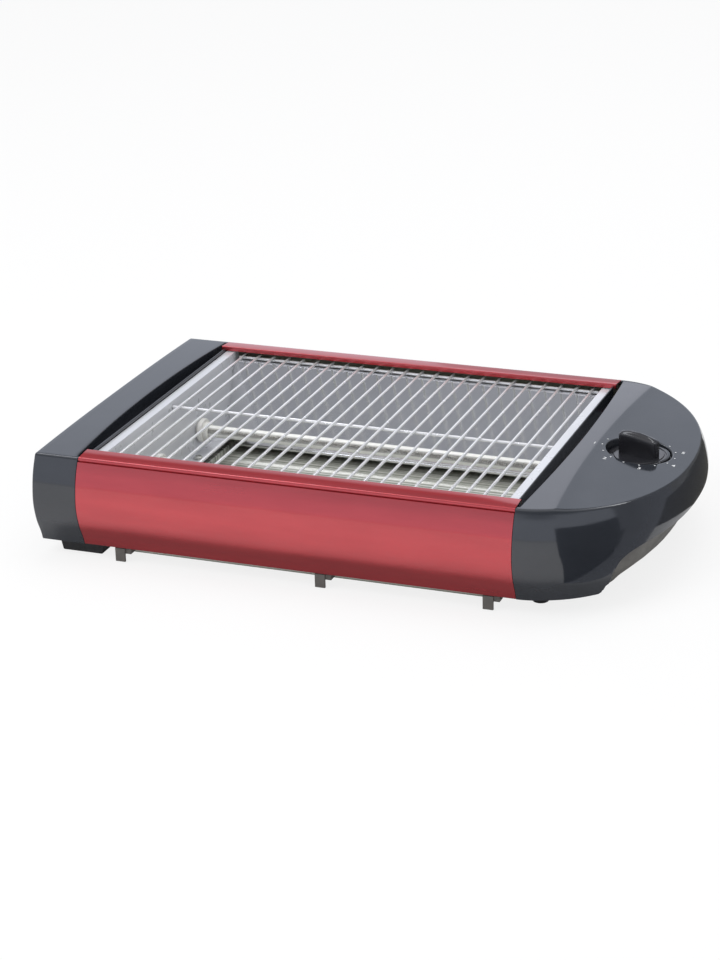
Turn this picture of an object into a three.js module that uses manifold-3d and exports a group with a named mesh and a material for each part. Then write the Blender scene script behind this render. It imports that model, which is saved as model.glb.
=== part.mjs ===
// Flat tabletop toaster: two quartz heaters under a fixed wire grill, between two plastic end caps.
// Millimetres, +Z up. X runs along the toaster with the timer knob at +X, Y runs to the back.
// The origin is at the middle of the footprint, on the surface that the toaster stands on.
import * as THREE from 'three';
import { mergeVertices } from 'three/addons/utils/BufferGeometryUtils.js';
import Module from 'manifold-3d';

const wasm = await Module();
wasm.setup();

// Driving sizes
const panelLength = 278;
const bodyDepth = 230.5;
const panelHeight = 57;
const standHeight = 10;
const leftCapWidth = 29.5;
const rightCapReach = 75.2;
const seamGap = 0.3;
const seatGap = 0.3;
const cutOverrun = 2;

// Outer skin of the panels and caps
const panelBulge = 7.5;
const tipBulge = 4.1;
const panelSheet = 0.7;
const capWall = 2.2;
const capCrown = 1.5;
const crownPower = 2.5;
const flangeWidth = 13;
const flangeRise = 1.2;
const flangeHem = 3;
const bottomHem = 6;
const panelBulgeShares = [[0, 0], [0.16, 0.55], [0.32, 0.87], [0.53, 1], [0.74, 0.67], [0.92, 0.05], [1, -0.15]];
const tipBulgeShares = [[0, 0], [0.105, 0.6], [0.316, 1], [0.44, 0.78], [0.6, 0.1], [1, -1.5]];

// Rounded right end
const endPower = 1.86;
const sidePower = 2.14;
const tipBlendPower = 5;
const tipDrop = 5.8;
const dropPower = 0.8;
const creaseInset = 16.5;
const creaseBow = 5.5;
const archHalfWidth = 92;
const archRise = 28;
const archPower = 6.5;
const archFootSpread = 12;
const archStart = 34;
const scoopDepth = 39;
const scoopShares = [[0, 0], [0.42, 0], [0.5, 0.045], [0.6, 0.095], [0.68, 0.12], [0.78, 0.34], [0.9, 0.78], [1, 1]];

// Base covers under the caps
const baseWall = 2;
const hullGap = 0.6;
const hullLap = 3;
const hullStart = 30;
const baseTongue = 12;
const shelfPost = 2.2;
const shelfPostX = 2;
const shelfEnd = 21;
const shelfMargin = 15;

// Cooling slots between the caps and the steel chamber
const slotBow = 6.3;
const slotEndWidth = 1.6;
const slotEndInset = 3;
const slotDepth = 9;
const slotWall = 1.6;
const lipInset = 3.1;
const lipWall = 1.1;
const lipDrop = 0.4;

// Steel heating chamber
const steelSheet = 0.6;
const rimDrop = 2.4;
const rimInset = 3.5;
const rimWidth = 6.2;
const rimHem = 2.6;
const plateLean = 4;
const plateFootRise = 9.4;
const plateFootReach = 8;
const plateEndInset = 7;
const shelfDrop = 7.5;
const shelfInset = 16;
const shelfWidth = 11;
const reflectorFootGap = 35.2;
const reflectorTrayGap = 1.2;
const reflectorHem = 2;

// Wire grill
const wireCount = 24;
const wirePitch = 10.68;
const wireDiameter = 1.8;
const crossWireDiameter = 2;
const wireDrop = 4.6;
const weldSink = 0.3;
const wireHoleGap = 0.35;
const wireTipInset = 8;
const crossWireInset = 11.2;
const crossWireTipInset = 12;
const crossWireHoleReach = 1.7;

// Heaters
const tubeRise = 23;
const tubeOffset = 33.8;
const tubeDiameter = 8;
const tubeWall = 1;
const tubeFit = 0.3;
const tubeTail = 6;
const coilDiameter = 4.4;
const ceramicCollar = 16;
const ceramicStep = 11.8;
const ceramicNeck = 11;
const collarThickness = 3.4;
const stepThickness = 3.2;
const neckReach = 7;
const neckClearance = 0.4;
const plugLength = 10;
const plugShoulder = 1;
const pinReach = 6;
const pinDiameter = 2.4;

// Crumb tray on its rails
const trayInset = 14;
const trayFrontInset = 10;
const trayRearInset = 12.5;
const trayDepth = 4.8;
const traySheet = 0.6;
const trayDropGap = 1;
const trayFlange = 1.8;
const trayRibCount = 11;
const trayRibHeight = 0.8;
const trayRibWidth = 5;
const trayRibMargin = 9;
const railSheet = 0.8;
const railGap = 0.4;
const railFlange = 9;
const railEndGap = 3;
const railScrewX = 8;
const railScrewInset = 20;
const railScrewLength = 5;
const tabWidth = 6.5;
const tabSheet = 1.4;
const tabInset = 2;
const tabFloorGap = 0.6;
const tabTopGap = 0.6;
const tabPlaceShares = [0.0244, 0.5516, 0.9724];
const tabRibWidth = 3.6;
const tabRibHeight = 3.4;

// Feet
const longFootTop = 31.5;
const longFootBottom = 27;
const longFootDepth = 14;
const longFootInset = 10;
const longFootMiddle = -6.5;
const roundFootDiameter = 11.5;
const roundFootX = 7.5;
const roundFootInset = 25;

// Timer and knob
const knobTipInset = 33.2;
const recessDiameter = 40;
const recessDepth = 5.5;
const recessWall = 2;
const knobDiameter = 37.6;
const knobDisc = 2.4;
const knobDiscDrop = 2;
const finLength = 26;
const finWidth = 8.5;
const finHeight = 14.5;
const finTopShares = [[-1, 0.74], [-0.7, 0.91], [-0.35, 1], [0, 0.985], [0.35, 0.92], [0.7, 0.83], [1, 0.72]];
const finAngle = -16;
const knobBoreDepth = 8;
const shaftDiameter = 6;
const shaftGap = 0.3;
const timerWidth = 42;
const timerDepth = 36;
const timerHeight = 20;
const timerPlate = 1;
const timerScrewReach = 25.4;
const timerScrewLength = 5.5;
const timerBoss = 6.4;
const shaftSeat = 10;

// Wiring and small parts
const leadDiameter = 2.6;
const leadSweep = 22;
const leadSteps = 12;
const timerLeadX = 19;
const timerLeadY = 8;
const blockLength = 30;
const blockWidth = 12;
const blockHeight = 14;
const blockX = 13;
const blockInset = 31.25;
const blockPitch = 8;
const blockRow = 2.8;
const shieldSheet = 0.8;
const shieldInset = 3.2;
const shieldHalfWidth = 70;
const shieldTopGap = 1.2;
const shieldHole = 8;
const glandX = 19;
const glandDrop = 30;
const glandSeatReach = 3;
const glandFlange = 14;
const glandNeck = 10;
const glandBore = 7.4;
const glandFlangeThickness = 1.8;
const glandNipple = 2.2;
const glandPadWall = 1.8;
const glandPadDepth = 10;
const glandTail = 3;
const screwHead = 6;
const screwHeadHeight = 2;
const screwShank = 3;
const screwLength = 9;
const screwGap = 0.3;
const boss = 9;
const bossInset = 53.25;
const leftBossX = -14;
const rightBossX = 29;
const plateScrewX = 18;
const plateScrewY = 17;
const plateScrewLength = 6;
const ventCount = 6;
const ventWidth = 3.4;
const ventLength = 18;
const ventPitch = 8.5;
const ventMiddle = 18;

// Facets
const roundSides = 16;
const wireSides = 6;
const leadSides = 8;
const knobSides = 32;
const screwSides = 10;
const profileSteps = 12;
const archSteps = 20;
const outlineSteps = 30;
const wallSteps = 9;
const topSteps = 14;
const slopeSteps = 7;

// Places that follow from the sizes
const halfDepth = bodyDepth / 2;
const topZ = standHeight + panelHeight;
const bottomZ = standHeight;
const leftSeam = 0;
const rightSeam = panelLength;
const leftEnd = leftSeam - leftCapWidth;
const rightTip = rightSeam + rightCapReach + tipBulge;
const knobAt = rightSeam + rightCapReach - knobTipInset;
const bossY = halfDepth - bossInset;
const tubeZ = bottomZ + tubeRise;
const baseTop = bottomZ + baseWall;
const trayTop = bottomZ - trayDropGap;
const trayBottom = trayTop - trayDepth;
const trayLeft = leftSeam + trayInset;
const trayRight = rightSeam - trayInset;
const trayFront = -halfDepth + trayFrontInset;
const trayLength = bodyDepth - trayFrontInset - trayRearInset;
const rimZ = topZ - rimDrop;
const rimEnd = leftSeam + rimInset + rimWidth;
const plateFootZ = bottomZ + plateFootRise;
const shelfZ = topZ - shelfDrop;
const crossWireZ = topZ - wireDrop - (wireDiameter + crossWireDiameter) / 2 + weldSink;
const holderFace = plateFace(tubeZ - ceramicCollar / 2) + seatGap;
const holderEnd = holderFace + collarThickness + stepThickness;
const neckEnd = plateFace(tubeZ) - steelSheet - neckReach;
const tubeEnd = holderEnd - tubeTail;
const plugStart = tubeEnd + plugShoulder;
const plugEnd = plugStart + plugLength;
const pinEnd = neckEnd - pinReach;

// Materials
const finish = (color, roughness, metalness) => new THREE.MeshStandardMaterial({ color, roughness, metalness });
const blackPlastic = finish(0x24282c, 0.25, 0);
const greyPlastic = finish(0x4a4a48, 0.6, 0);
const redPaint = finish(0xa82a35, 0.35, 0.6);
const steel = finish(0xc4c6c8, 0.25, 1);
const chrome = finish(0xd8dadc, 0.15, 1);
const ceramic = finish(0xecebe4, 0.5, 0);
const quartz = finish(0xdfe0dc, 0.2, 0);
const nickel = finish(0x8f8f8f, 0.4, 1);
const rubber = finish(0x1c1c1c, 0.8, 0);
const leadJacket = finish(0xb9b4a4, 0.7, 0);

// Chamber side of the left end plate at a height
function plateFace(z) {
  return rimEnd + (plateLean * (rimZ - z)) / (rimZ - plateFootZ);
}

const toaster = new THREE.Group();
toaster.position.set(-(leftEnd + rightTip) / 2, 0, 0);

// Turns a closed geometry into a solid that can be joined and cut
function solid(geometry) {
  const bare = geometry.clone();
  bare.deleteAttribute('normal');
  bare.deleteAttribute('uv');
  const merged = mergeVertices(bare);
  const vertProperties = new Float32Array(merged.attributes.position.array);
  const triVerts = new Uint32Array(merged.index.array);
  return new wasm.Manifold(new wasm.Mesh({ numProp: 3, vertProperties, triVerts }));
}

function geometryOf(body) {
  const mesh = body.getMesh();
  const geometry = new THREE.BufferGeometry();
  geometry.setAttribute('position', new THREE.BufferAttribute(new Float32Array(mesh.vertProperties), 3));
  geometry.setIndex(new THREE.BufferAttribute(new Uint32Array(mesh.triVerts), 1));
  geometry.computeVertexNormals();
  return geometry;
}

function addPart(name, body, material) {
  const mesh = new THREE.Mesh(geometryOf(body), material);
  mesh.name = name;
  toaster.add(mesh);
}

const joined = (bodies) => bodies.reduce((whole, body) => whole.add(body));
const cutBy = (body, cutters) => cutters.reduce((rest, cutter) => rest.subtract(cutter), body);

// The same body carried by a matrix, turned right side out again where that mirrors it
function carried(body, matrix) {
  const mesh = body.getMesh();
  const places = new THREE.BufferAttribute(new Float32Array(mesh.vertProperties), 3).applyMatrix4(matrix);
  const triVerts = new Uint32Array(mesh.triVerts);
  if (matrix.determinant() < 0) triVerts.reverse();
  return new wasm.Manifold(new wasm.Mesh({ numProp: 3, vertProperties: places.array, triVerts }));
}

const toRight = new THREE.Matrix4().makeScale(-1, 1, 1).setPosition(leftSeam + rightSeam, 0, 0);
const toRear = new THREE.Matrix4().makeScale(1, -1, 1);

const shapeOf = (points) => new THREE.Shape(points.map(([a, b]) => new THREE.Vector2(a, b)));

function extruded(points, depth, basis, start) {
  const geometry = new THREE.ExtrudeGeometry(shapeOf(points), { depth, bevelEnabled: false });
  geometry.applyMatrix4(new THREE.Matrix4().makeBasis(...basis).setPosition(start));
  return solid(geometry);
}

const unitX = new THREE.Vector3(1, 0, 0);
const unitY = new THREE.Vector3(0, 1, 0);
const unitZ = new THREE.Vector3(0, 0, 1);

// Prisms of an outline given across the axis they run along
const prismX = (outline, x0, x1) => extruded(outline, x1 - x0, [unitY, unitZ, unitX], new THREE.Vector3(x0, 0, 0));
const prismY = (outline, y0, y1) =>
  extruded(outline, y1 - y0, [unitX, unitZ, unitY.clone().negate()], new THREE.Vector3(0, y1, 0));
const prismZ = (outline, z0, z1) => extruded(outline, z1 - z0, [unitX, unitY, unitZ], new THREE.Vector3(0, 0, z0));

function block(x0, x1, y0, y1, z0, z1) {
  const geometry = new THREE.BoxGeometry(x1 - x0, y1 - y0, z1 - z0);
  geometry.translate((x0 + x1) / 2, (y0 + y1) / 2, (z0 + z1) / 2);
  return solid(geometry);
}

// A round bar between two points on one axis
function rod(from, to, diameter, sides = roundSides) {
  const a = new THREE.Vector3(...from);
  const b = new THREE.Vector3(...to);
  const geometry = new THREE.CylinderGeometry(diameter / 2, diameter / 2, a.distanceTo(b), sides);
  const turn = new THREE.Quaternion().setFromUnitVectors(unitY, b.clone().sub(a).normalize());
  geometry.applyQuaternion(turn);
  geometry.translate(...a.clone().add(b).multiplyScalar(0.5).toArray());
  return solid(geometry);
}

// A lead that leaves one place and enters another, each along the direction given there
function lead(from, leaving, to, entering) {
  const start = new THREE.Vector3(...from);
  const end = new THREE.Vector3(...to);
  const first = start.clone().addScaledVector(leaving, leadSweep);
  const second = end.clone().addScaledVector(entering, -leadSweep);
  const section = new THREE.Shape();
  section.absarc(0, 0, leadDiameter / 2, 0, Math.PI * 2, false);
  const path = new THREE.CubicBezierCurve3(start, first, second, end);
  const options = { steps: leadSteps, curveSegments: leadSides / 2, extrudePath: path };
  return solid(new THREE.ExtrudeGeometry(section, options));
}

// Skins a stack of closed rings and closes both ends; flat drops the axis that the rings are stacked along
function loft(rings, flat) {
  const count = rings[0].length;
  const positions = rings.flat(2);
  const index = [];
  for (let i = 0; i + 1 < rings.length; i += 1) {
    for (let j = 0; j < count; j += 1) {
      const a = i * count + j;
      const b = i * count + ((j + 1) % count);
      index.push(a, b, b + count, a, b + count, a + count);
    }
  }
  const endFaces = (ring) => THREE.ShapeUtils.triangulateShape(ring.map((p) => new THREE.Vector2(...flat(p))), []);
  const clockwise = THREE.ShapeUtils.isClockWise(rings[0].map((p) => new THREE.Vector2(...flat(p))));
  const last = (rings.length - 1) * count;
  for (const [a, b, c] of endFaces(rings[0])) {
    index.push(...(clockwise ? [a, b, c] : [c, b, a]));
  }
  for (const [a, b, c] of endFaces(rings[rings.length - 1])) {
    index.push(...(clockwise ? [c + last, b + last, a + last] : [a + last, b + last, c + last]));
  }
  const geometry = new THREE.BufferGeometry();
  geometry.setAttribute('position', new THREE.BufferAttribute(new Float32Array(positions), 3));
  geometry.setIndex(index);
  return solid(signedVolume(positions, index) < 0 ? flipped(geometry) : geometry);
}

function signedVolume(positions, index) {
  const at = (i) => new THREE.Vector3(positions[3 * i], positions[3 * i + 1], positions[3 * i + 2]);
  let sum = 0;
  for (let i = 0; i < index.length; i += 3) {
    sum += at(index[i]).dot(at(index[i + 1]).cross(at(index[i + 2])));
  }
  return sum;
}

function flipped(geometry) {
  geometry.setIndex(Array.from(geometry.index.array).reverse());
  return geometry;
}

// A smooth line through rising points, as a function
function smoothCurve(points) {
  const slope = points.map((point, i) => {
    const before = points[Math.max(i - 1, 0)];
    const after = points[Math.min(i + 1, points.length - 1)];
    return (after[1] - before[1]) / (after[0] - before[0]);
  });
  return (value) => {
    const at = Math.min(Math.max(value, points[0][0]), points[points.length - 1][0]);
    let i = 0;
    while (i < points.length - 2 && at > points[i + 1][0]) i += 1;
    const span = points[i + 1][0] - points[i][0];
    const t = (at - points[i][0]) / span;
    const start = points[i][1] * (1 + 2 * t) * (1 - t) ** 2 + slope[i] * span * t * (1 - t) ** 2;
    return start + points[i + 1][1] * t * t * (3 - 2 * t) - slope[i + 1] * span * t * t * (1 - t);
  };
}

const panelCurve = smoothCurve(panelBulgeShares);
const tipCurve = smoothCurve(tipBulgeShares);
const scoopCurve = smoothCurve(scoopShares);
const steps = (count) => Array.from({ length: count + 1 }, (_, i) => i / count);

// Distance of the panel skin outside the top edge, at a share of the height below it
const panelOffset = (share) => panelBulge * panelCurve(share);

// A strip of sheet metal: a line and the same line moved sideways by the sheet's thickness
function sheetOutline(line, thickness) {
  const moved = line.map((point, i) => {
    const before = line[Math.max(i - 1, 0)];
    const after = line[Math.min(i + 1, line.length - 1)];
    const first = unitNormal(before, point);
    const second = unitNormal(point, after);
    const a = first ?? second;
    const b = second ?? first;
    const scale = thickness / (1 + a[0] * b[0] + a[1] * b[1]);
    return [point[0] + (a[0] + b[0]) * scale, point[1] + (a[1] + b[1]) * scale];
  });
  return [...line, ...moved.reverse()];
}

function unitNormal(from, to) {
  const run = [to[0] - from[0], to[1] - from[1]];
  const length = Math.hypot(...run);
  return length === 0 ? null : [-run[1] / length, run[0] / length];
}

const mirrored = (outline) => outline.map(([a, b]) => [-a, b]).reverse();

// Front and rear panels
function panelLine() {
  const flangeY = -halfDepth + flangeWidth;
  const flangeZ = topZ + flangeRise;
  const line = [[flangeY, flangeZ - flangeHem], [flangeY, flangeZ]];
  for (const share of steps(profileSteps)) {
    line.push([-halfDepth - panelOffset(share), topZ - panelHeight * share]);
  }
  line.push([-halfDepth - panelOffset(1) + bottomHem, bottomZ]);
  return line;
}

function makePanels() {
  const outline = sheetOutline(panelLine(), panelSheet);
  addPart('front_panel', prismX(outline, leftSeam + seamGap, rightSeam - seamGap), redPaint);
  addPart('rear_panel', prismX(mirrored(outline), leftSeam + seamGap, rightSeam - seamGap), redPaint);
}

// Section of the left cap across X, drawn inward by a wall
function capOutline(wall) {
  const side = steps(profileSteps).map((share) => {
    const z = topZ - panelHeight * share;
    return [-halfDepth - panelOffset(share) + wall, Math.min(z, topZ - wall)];
  });
  const crown = steps(profileSteps).slice(1, -1).map((share) => {
    const y = (halfDepth - wall) * (1 - 2 * share);
    return [y, topZ - wall + crownAt(y)];
  });
  const rear = side.map(([y, z]) => [-y, z]).reverse();
  return [...side, ...rear, ...crown];
}

const crownAt = (y) => capCrown * (1 - Math.min(Math.abs(y) / halfDepth, 1) ** crownPower);

// Outer edge of a cooling slot: distance outside the seam at a place along Y
const slotReach = (y) => slotEndWidth + (slotBow - slotEndWidth) * (1 - (y / (halfDepth - slotEndInset)) ** 2);

// The slot beside the steel chamber; side is -1 at the left seam and 1 at the right one
function slotParts(seam, side) {
  const reachEnd = halfDepth - slotEndInset;
  const lipEnd = halfDepth - flangeWidth - seatGap;
  const outer = steps(profileSteps).map((share) => {
    const y = reachEnd * (2 * share - 1);
    return [seam + side * slotReach(y), y];
  });
  const notch = [[seam - side * cutOverrun, reachEnd], [seam - side * cutOverrun, -reachEnd]];
  const lipLine = seam - side * lipInset;
  const inner = [[seam, reachEnd], [seam, lipEnd], [lipLine, lipEnd], [lipLine, -lipEnd], [seam, -lipEnd],
    [seam, -reachEnd]];
  const order = (outline) => (side > 0 ? outline : outline.slice().reverse());
  const hole = prismZ(order([...outer, ...notch]), topZ - slotDepth, topZ + capCrown + cutOverrun);
  const wallLine = outer.map(([x, y]) => [x + side * slotWall, y]);
  const floorZ = topZ - slotDepth - slotWall;
  const wall = prismZ(order([...wallLine, ...outer.slice().reverse()]), floorZ, topZ - capWall / 2);
  const floor = prismZ(order([...outer, ...inner]), floorZ, topZ - slotDepth);
  const lipSpan = [lipLine, lipLine + side * lipWall].sort((a, b) => a - b);
  const lip = block(...lipSpan, -lipEnd, lipEnd, floorZ, topZ - lipDrop);
  return { hole, body: joined([wall, floor, lip]) };
}

// Half the depth inside the caps' walls and between the panels' hems, at the bottom
const capMouth = halfDepth + panelOffset(1) - capWall;
const hemEdge = halfDepth + panelOffset(1) - bottomHem;

// Posts inside a cap that take the screws of its base cover
function capPosts(x, roofZ) {
  return [-bossY, bossY].map((y) => rod([x, y, baseTop + seatGap], [x, y, roofZ - capWall / 2], boss));
}

const postBores = (x) => [-bossY, bossY].map((y) => screwBore(x, y, baseTop, screwLength));

function screwBore(x, y, z, length) {
  return rod([x, y, z - cutOverrun], [x, y, z + length], screwShank + 2 * screwGap);
}

function makeLeftCap() {
  const outside = prismX(capOutline(0), leftEnd, leftSeam);
  const inside = prismX(capOutline(capWall), leftEnd + capWall, leftSeam + cutOverrun);
  const open = block(leftEnd + capWall, leftSeam + cutOverrun, -capMouth, capMouth, bottomZ - cutOverrun,
    bottomZ + cutOverrun);
  const slot = slotParts(leftSeam, -1);
  const shell = outside.subtract(inside).subtract(open).subtract(slot.hole).add(slot.body);
  const posted = joined([shell, ...capPosts(leftBossX, topZ + crownAt(bossY))]);
  addPart('left_end_cap', cutBy(posted, postBores(leftBossX)), blackPlastic);
}

// Top edge of the rounded end, as points with the direction that faces outward
const endOutline = steps(outlineSteps).map((share) => {
  const across = Math.sin((share - 0.5) * Math.PI);
  const along = Math.max(1 - Math.abs(across) ** sidePower, 0) ** (1 / endPower);
  const facing = new THREE.Vector2(
    (endPower * along ** (endPower - 1)) / rightCapReach,
    (sidePower * Math.abs(across) ** (sidePower - 1) * Math.sign(across)) / halfDepth,
  ).normalize();
  return { x: rightSeam + rightCapReach * along, y: halfDepth * across, along, facing };
});

// Height of the right cap's top surface: a level band, a crease, and a slope to the tip
function capTop(x, y) {
  const crease = creaseInset + creaseBow * Math.min((y / halfDepth) ** 2, 1);
  const past = Math.max(x - rightSeam - crease, 0) / (rightCapReach - crease);
  const fade = 1 - Math.min(Math.max((x - rightSeam) / rightCapReach, 0), 1);
  return topZ + crownAt(y) * fade - tipDrop * past ** dropPower;
}

// Ring of the right cap's wall at a height; inset draws it inward, scooped adds the hollow under the tip
function endRing(z, inset, scooped) {
  return endOutline.map(({ x, y, along, facing }) => {
    const share = Math.min(Math.max((capTop(x, y) - z) / panelHeight, 0), 1);
    const blend = along ** tipBlendPower;
    const scoop = scooped ? scoopDepth * scoopCurve(share) * blend : 0;
    const offset = panelOffset(share) * (1 - blend) + tipBulge * tipCurve(share) * blend - inset - scoop;
    return [Math.max(x + facing.x * offset, rightSeam), y + facing.y * offset, z];
  });
}

function endWall(z0, z1, inset, scooped) {
  const rings = steps(wallSteps).map((share) => endRing(z0 + (z1 - z0) * share, inset, scooped));
  return loft(rings, ([x, y]) => [x, y]);
}

// Everything below the right cap's top surface, lowered by a wall
function belowTop(wall) {
  const reach = halfDepth + panelBulge + cutOverrun;
  const rings = steps(topSteps).map((share) => {
    const y = reach * (2 * share - 1);
    const crease = rightSeam + creaseInset + creaseBow * Math.min((y / halfDepth) ** 2, 1);
    const start = rightSeam - cutOverrun;
    const finishX = rightTip + cutOverrun;
    const band = steps(2).map((t) => start + (crease - start) * t);
    const slope = steps(slopeSteps).slice(1).map((t) => crease + (finishX - crease) * t * t);
    const top = [...band, ...slope].map((x) => [x, y, capTop(Math.min(x, rightSeam + rightCapReach), y) - wall]);
    return [...top, [finishX, y, bottomZ - cutOverrun], [start, y, bottomZ - cutOverrun]];
  });
  return loft(rings, ([x, , z]) => [x, z]);
}

// Arched cut-out over the finger recess, run through the tip
function archCut() {
  const outline = [[-archHalfWidth - archFootSpread, bottomZ - cutOverrun]];
  for (const share of steps(archSteps)) {
    const turn = Math.PI * (1 - share);
    const y = archHalfWidth * Math.sign(Math.cos(turn)) * Math.abs(Math.cos(turn)) ** (2 / archPower);
    outline.push([y, bottomZ + archRise * Math.max(Math.sin(turn), 0) ** (2 / archPower)]);
  }
  outline.push([archHalfWidth + archFootSpread, bottomZ - cutOverrun]);
  return prismX(outline.reverse(), rightSeam + archStart, rightTip + cutOverrun);
}

const roofZ = capTop(knobAt, 0);
const recessFloor = roofZ - recessDepth;
const shaftBore = shaftDiameter + 2 * shaftGap;
const plateTop = recessFloor - recessWall - seatGap;
const timerTop = plateTop - timerPlate - seatGap;
const glandZ = topZ - glandDrop;
const glandSeat = halfDepth + glandSeatReach;
const glandAt = (y) => [rightSeam + glandX, y, glandZ];

// Recess for the knob, with the timer's screw posts beside it
function knobRecess() {
  const cupDiameter = recessDiameter + 2 * recessWall;
  const cup = rod([knobAt, 0, recessFloor - recessWall], [knobAt, 0, roofZ - capWall / 2], cupDiameter, knobSides);
  const posts = [-timerScrewReach, timerScrewReach].map((y) =>
    rod([knobAt, y, plateTop + seatGap], [knobAt, y, roofZ - capWall / 2], timerBoss));
  const bores = [-timerScrewReach, timerScrewReach].map((y) => screwBore(knobAt, y, plateTop, timerScrewLength));
  const recess = rod([knobAt, 0, recessFloor], [knobAt, 0, topZ + cutOverrun], recessDiameter, knobSides);
  const shaftHole = rod([knobAt, 0, recessFloor - 2 * recessWall], [knobAt, 0, topZ], shaftBore);
  return { body: joined([cup, ...posts]), holes: [recess, shaftHole, ...bores] };
}

// Flat pad on the rear wall that the cord gland seats on
function glandPad() {
  const pad = glandFlange + 2 * seatGap + 2 * glandPadWall;
  const body = rod(glandAt(glandSeat - glandPadDepth), glandAt(glandSeat), pad);
  const face = rod(glandAt(glandSeat), glandAt(glandSeat + panelBulge), glandFlange + 2 * glandPadWall);
  const hole = rod(glandAt(glandSeat - glandPadDepth - cutOverrun), glandAt(glandSeat + cutOverrun),
    glandNeck + 2 * seatGap);
  return { body, holes: [face, hole] };
}

function makeRightHousing() {
  const tall = topZ + capCrown + cutOverrun;
  const outside = endWall(bottomZ, tall, 0, false).intersect(belowTop(0));
  const inside = endWall(bottomZ - cutOverrun, tall, capWall, false).intersect(belowTop(capWall));
  const slot = slotParts(rightSeam, 1);
  const openSide = block(rightSeam - cutOverrun, rightSeam + capWall, -capMouth, capMouth, bottomZ - cutOverrun,
    topZ - slotDepth - slotWall);
  const shell = cutBy(outside, [inside, openSide, slot.hole]);
  const recess = knobRecess();
  const pad = glandPad();
  const postX = rightSeam + rightBossX;
  const whole = joined([shell, slot.body, recess.body, pad.body, ...capPosts(postX, capTop(postX, bossY))]);
  const holes = [...recess.holes, ...pad.holes, ...postBores(postX), archCut()];
  addPart('right_housing', cutBy(whole, holes), blackPlastic);
}

// Shelf under the foot of the left end plate, on a wall that stands on the base cover
function plateShelf() {
  const reach = halfDepth - shelfMargin;
  const top = plateFootZ - steelSheet - seatGap;
  const wall = block(shelfPostX, shelfPostX + shelfPost, -reach, reach, bottomZ, top);
  return wall.add(block(shelfPostX, shelfEnd, -reach, reach, top - shelfPost, top));
}

// Strip of the base cover that reaches under the chamber
function baseStrip() {
  const reach = hemEdge - hullGap;
  return block(leftSeam - cutOverrun, leftSeam + baseTongue, -reach, reach, bottomZ, baseTop).add(plateShelf());
}

const railScrewY = halfDepth - longFootInset - longFootDepth - railEndGap - railScrewInset;
const railEnd = railScrewY + railScrewInset;

// Holes in the left base cover's strip: for the rail's screws, and for the screw of the end plate
function stripBores() {
  const rails = [-railScrewY, railScrewY].map((y) => screwBore(railScrewX, y, bottomZ, railScrewLength));
  const shelfTop = plateFootZ - steelSheet - seatGap;
  return [...rails, rod([plateScrewX, plateScrewY, shelfTop - shelfPost - cutOverrun],
    [plateScrewX, plateScrewY, shelfTop + cutOverrun], screwShank + 2 * screwGap)];
}

const coverBores = (x) => [-bossY, bossY].map((y) => screwBore(x, y, bottomZ, baseWall + cutOverrun));

function makeLeftBase() {
  const reach = capMouth - hullGap;
  const floor = block(leftEnd + capWall + hullGap, leftSeam, -reach, reach, bottomZ, baseTop);
  const cover = cutBy(floor.add(baseStrip()), [...stripBores(), ...coverBores(leftBossX)]);
  addPart('left_base_cover', cover, greyPlastic);
}

// Air vents in the floor of the right base cover
function ventCuts() {
  const start = rightSeam + ventMiddle - ventLength / 2;
  return Array.from({ length: ventCount }, (_, i) => {
    const y = (i - (ventCount - 1) / 2) * ventPitch;
    return block(start, start + ventLength, y - ventWidth / 2, y + ventWidth / 2, bottomZ - cutOverrun,
      baseTop + cutOverrun);
  });
}

// Right base cover: a floor, and the hollow wall that fills the arch and leaves room for fingers under the tip
function makeRightBase() {
  const top = bottomZ + archRise + hullLap;
  const inset = capWall + hullGap;
  const hull = endWall(bottomZ, top, inset, true);
  const hollow = endWall(baseTop, top + cutOverrun, inset + baseWall, true);
  const reach = halfDepth + panelBulge;
  const lowPart = block(rightSeam - cutOverrun, rightSeam + hullStart, -reach, reach, baseTop, top + cutOverrun);
  const strip = carried(cutBy(baseStrip(), stripBores()), toRight);
  const floor = cutBy(hull, [hollow, lowPart, ...coverBores(rightSeam + rightBossX), ...ventCuts()]);
  addPart('right_base_cover', floor.add(strip), greyPlastic);
}

// End plates of the chamber: a rim under the slot's lip, a leaning face, and a foot on the shelf
function makeEndPlates() {
  const line = [
    [rimInset, rimZ - rimHem],
    [rimInset, rimZ],
    [rimEnd, rimZ],
    [rimEnd + plateLean, plateFootZ],
    [rimEnd + plateLean + plateFootReach, plateFootZ],
  ];
  const reach = halfDepth - plateEndInset;
  const faceEnd = rimEnd + plateLean + plateFootReach;
  const neckHoles = [-tubeOffset, tubeOffset].map((y) =>
    rod([rimInset, y, tubeZ], [faceEnd, y, tubeZ], ceramicNeck + 2 * neckClearance));
  const wireHoleDiameter = crossWireDiameter + 2 * wireHoleGap;
  const wireHole = rod([rimInset + rimHem, 0, crossWireZ], [faceEnd, 0, crossWireZ], wireHoleDiameter, wireSides * 2);
  const screwHole = rod([plateScrewX, plateScrewY, plateFootZ - cutOverrun],
    [plateScrewX, plateScrewY, plateFootZ + cutOverrun], screwShank + 2 * screwGap);
  const plate = prismY(sheetOutline(line, -steelSheet), -reach, reach);
  const left = cutBy(plate, [...neckHoles, wireHole, screwHole]);
  addPart('left_end_plate', left, steel);
  addPart('right_end_plate', carried(left, toRight), steel);
}

// Space beyond the chamber side of the left end plate
function beyondPlate() {
  const low = plateFootZ - cutOverrun;
  const outline = [[leftEnd, low], [plateFace(low) + seatGap, low], [plateFace(topZ) + seatGap, topZ],
    [leftEnd, topZ]];
  return prismY(outline, -halfDepth, halfDepth);
}

// Space round the foot of the left end plate and the shelf under it
function besidePlateFoot() {
  const end = rimEnd + plateLean + plateFootReach + seatGap;
  return block(leftEnd, end, -halfDepth, halfDepth, bottomZ, plateFootZ + seatGap);
}

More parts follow.
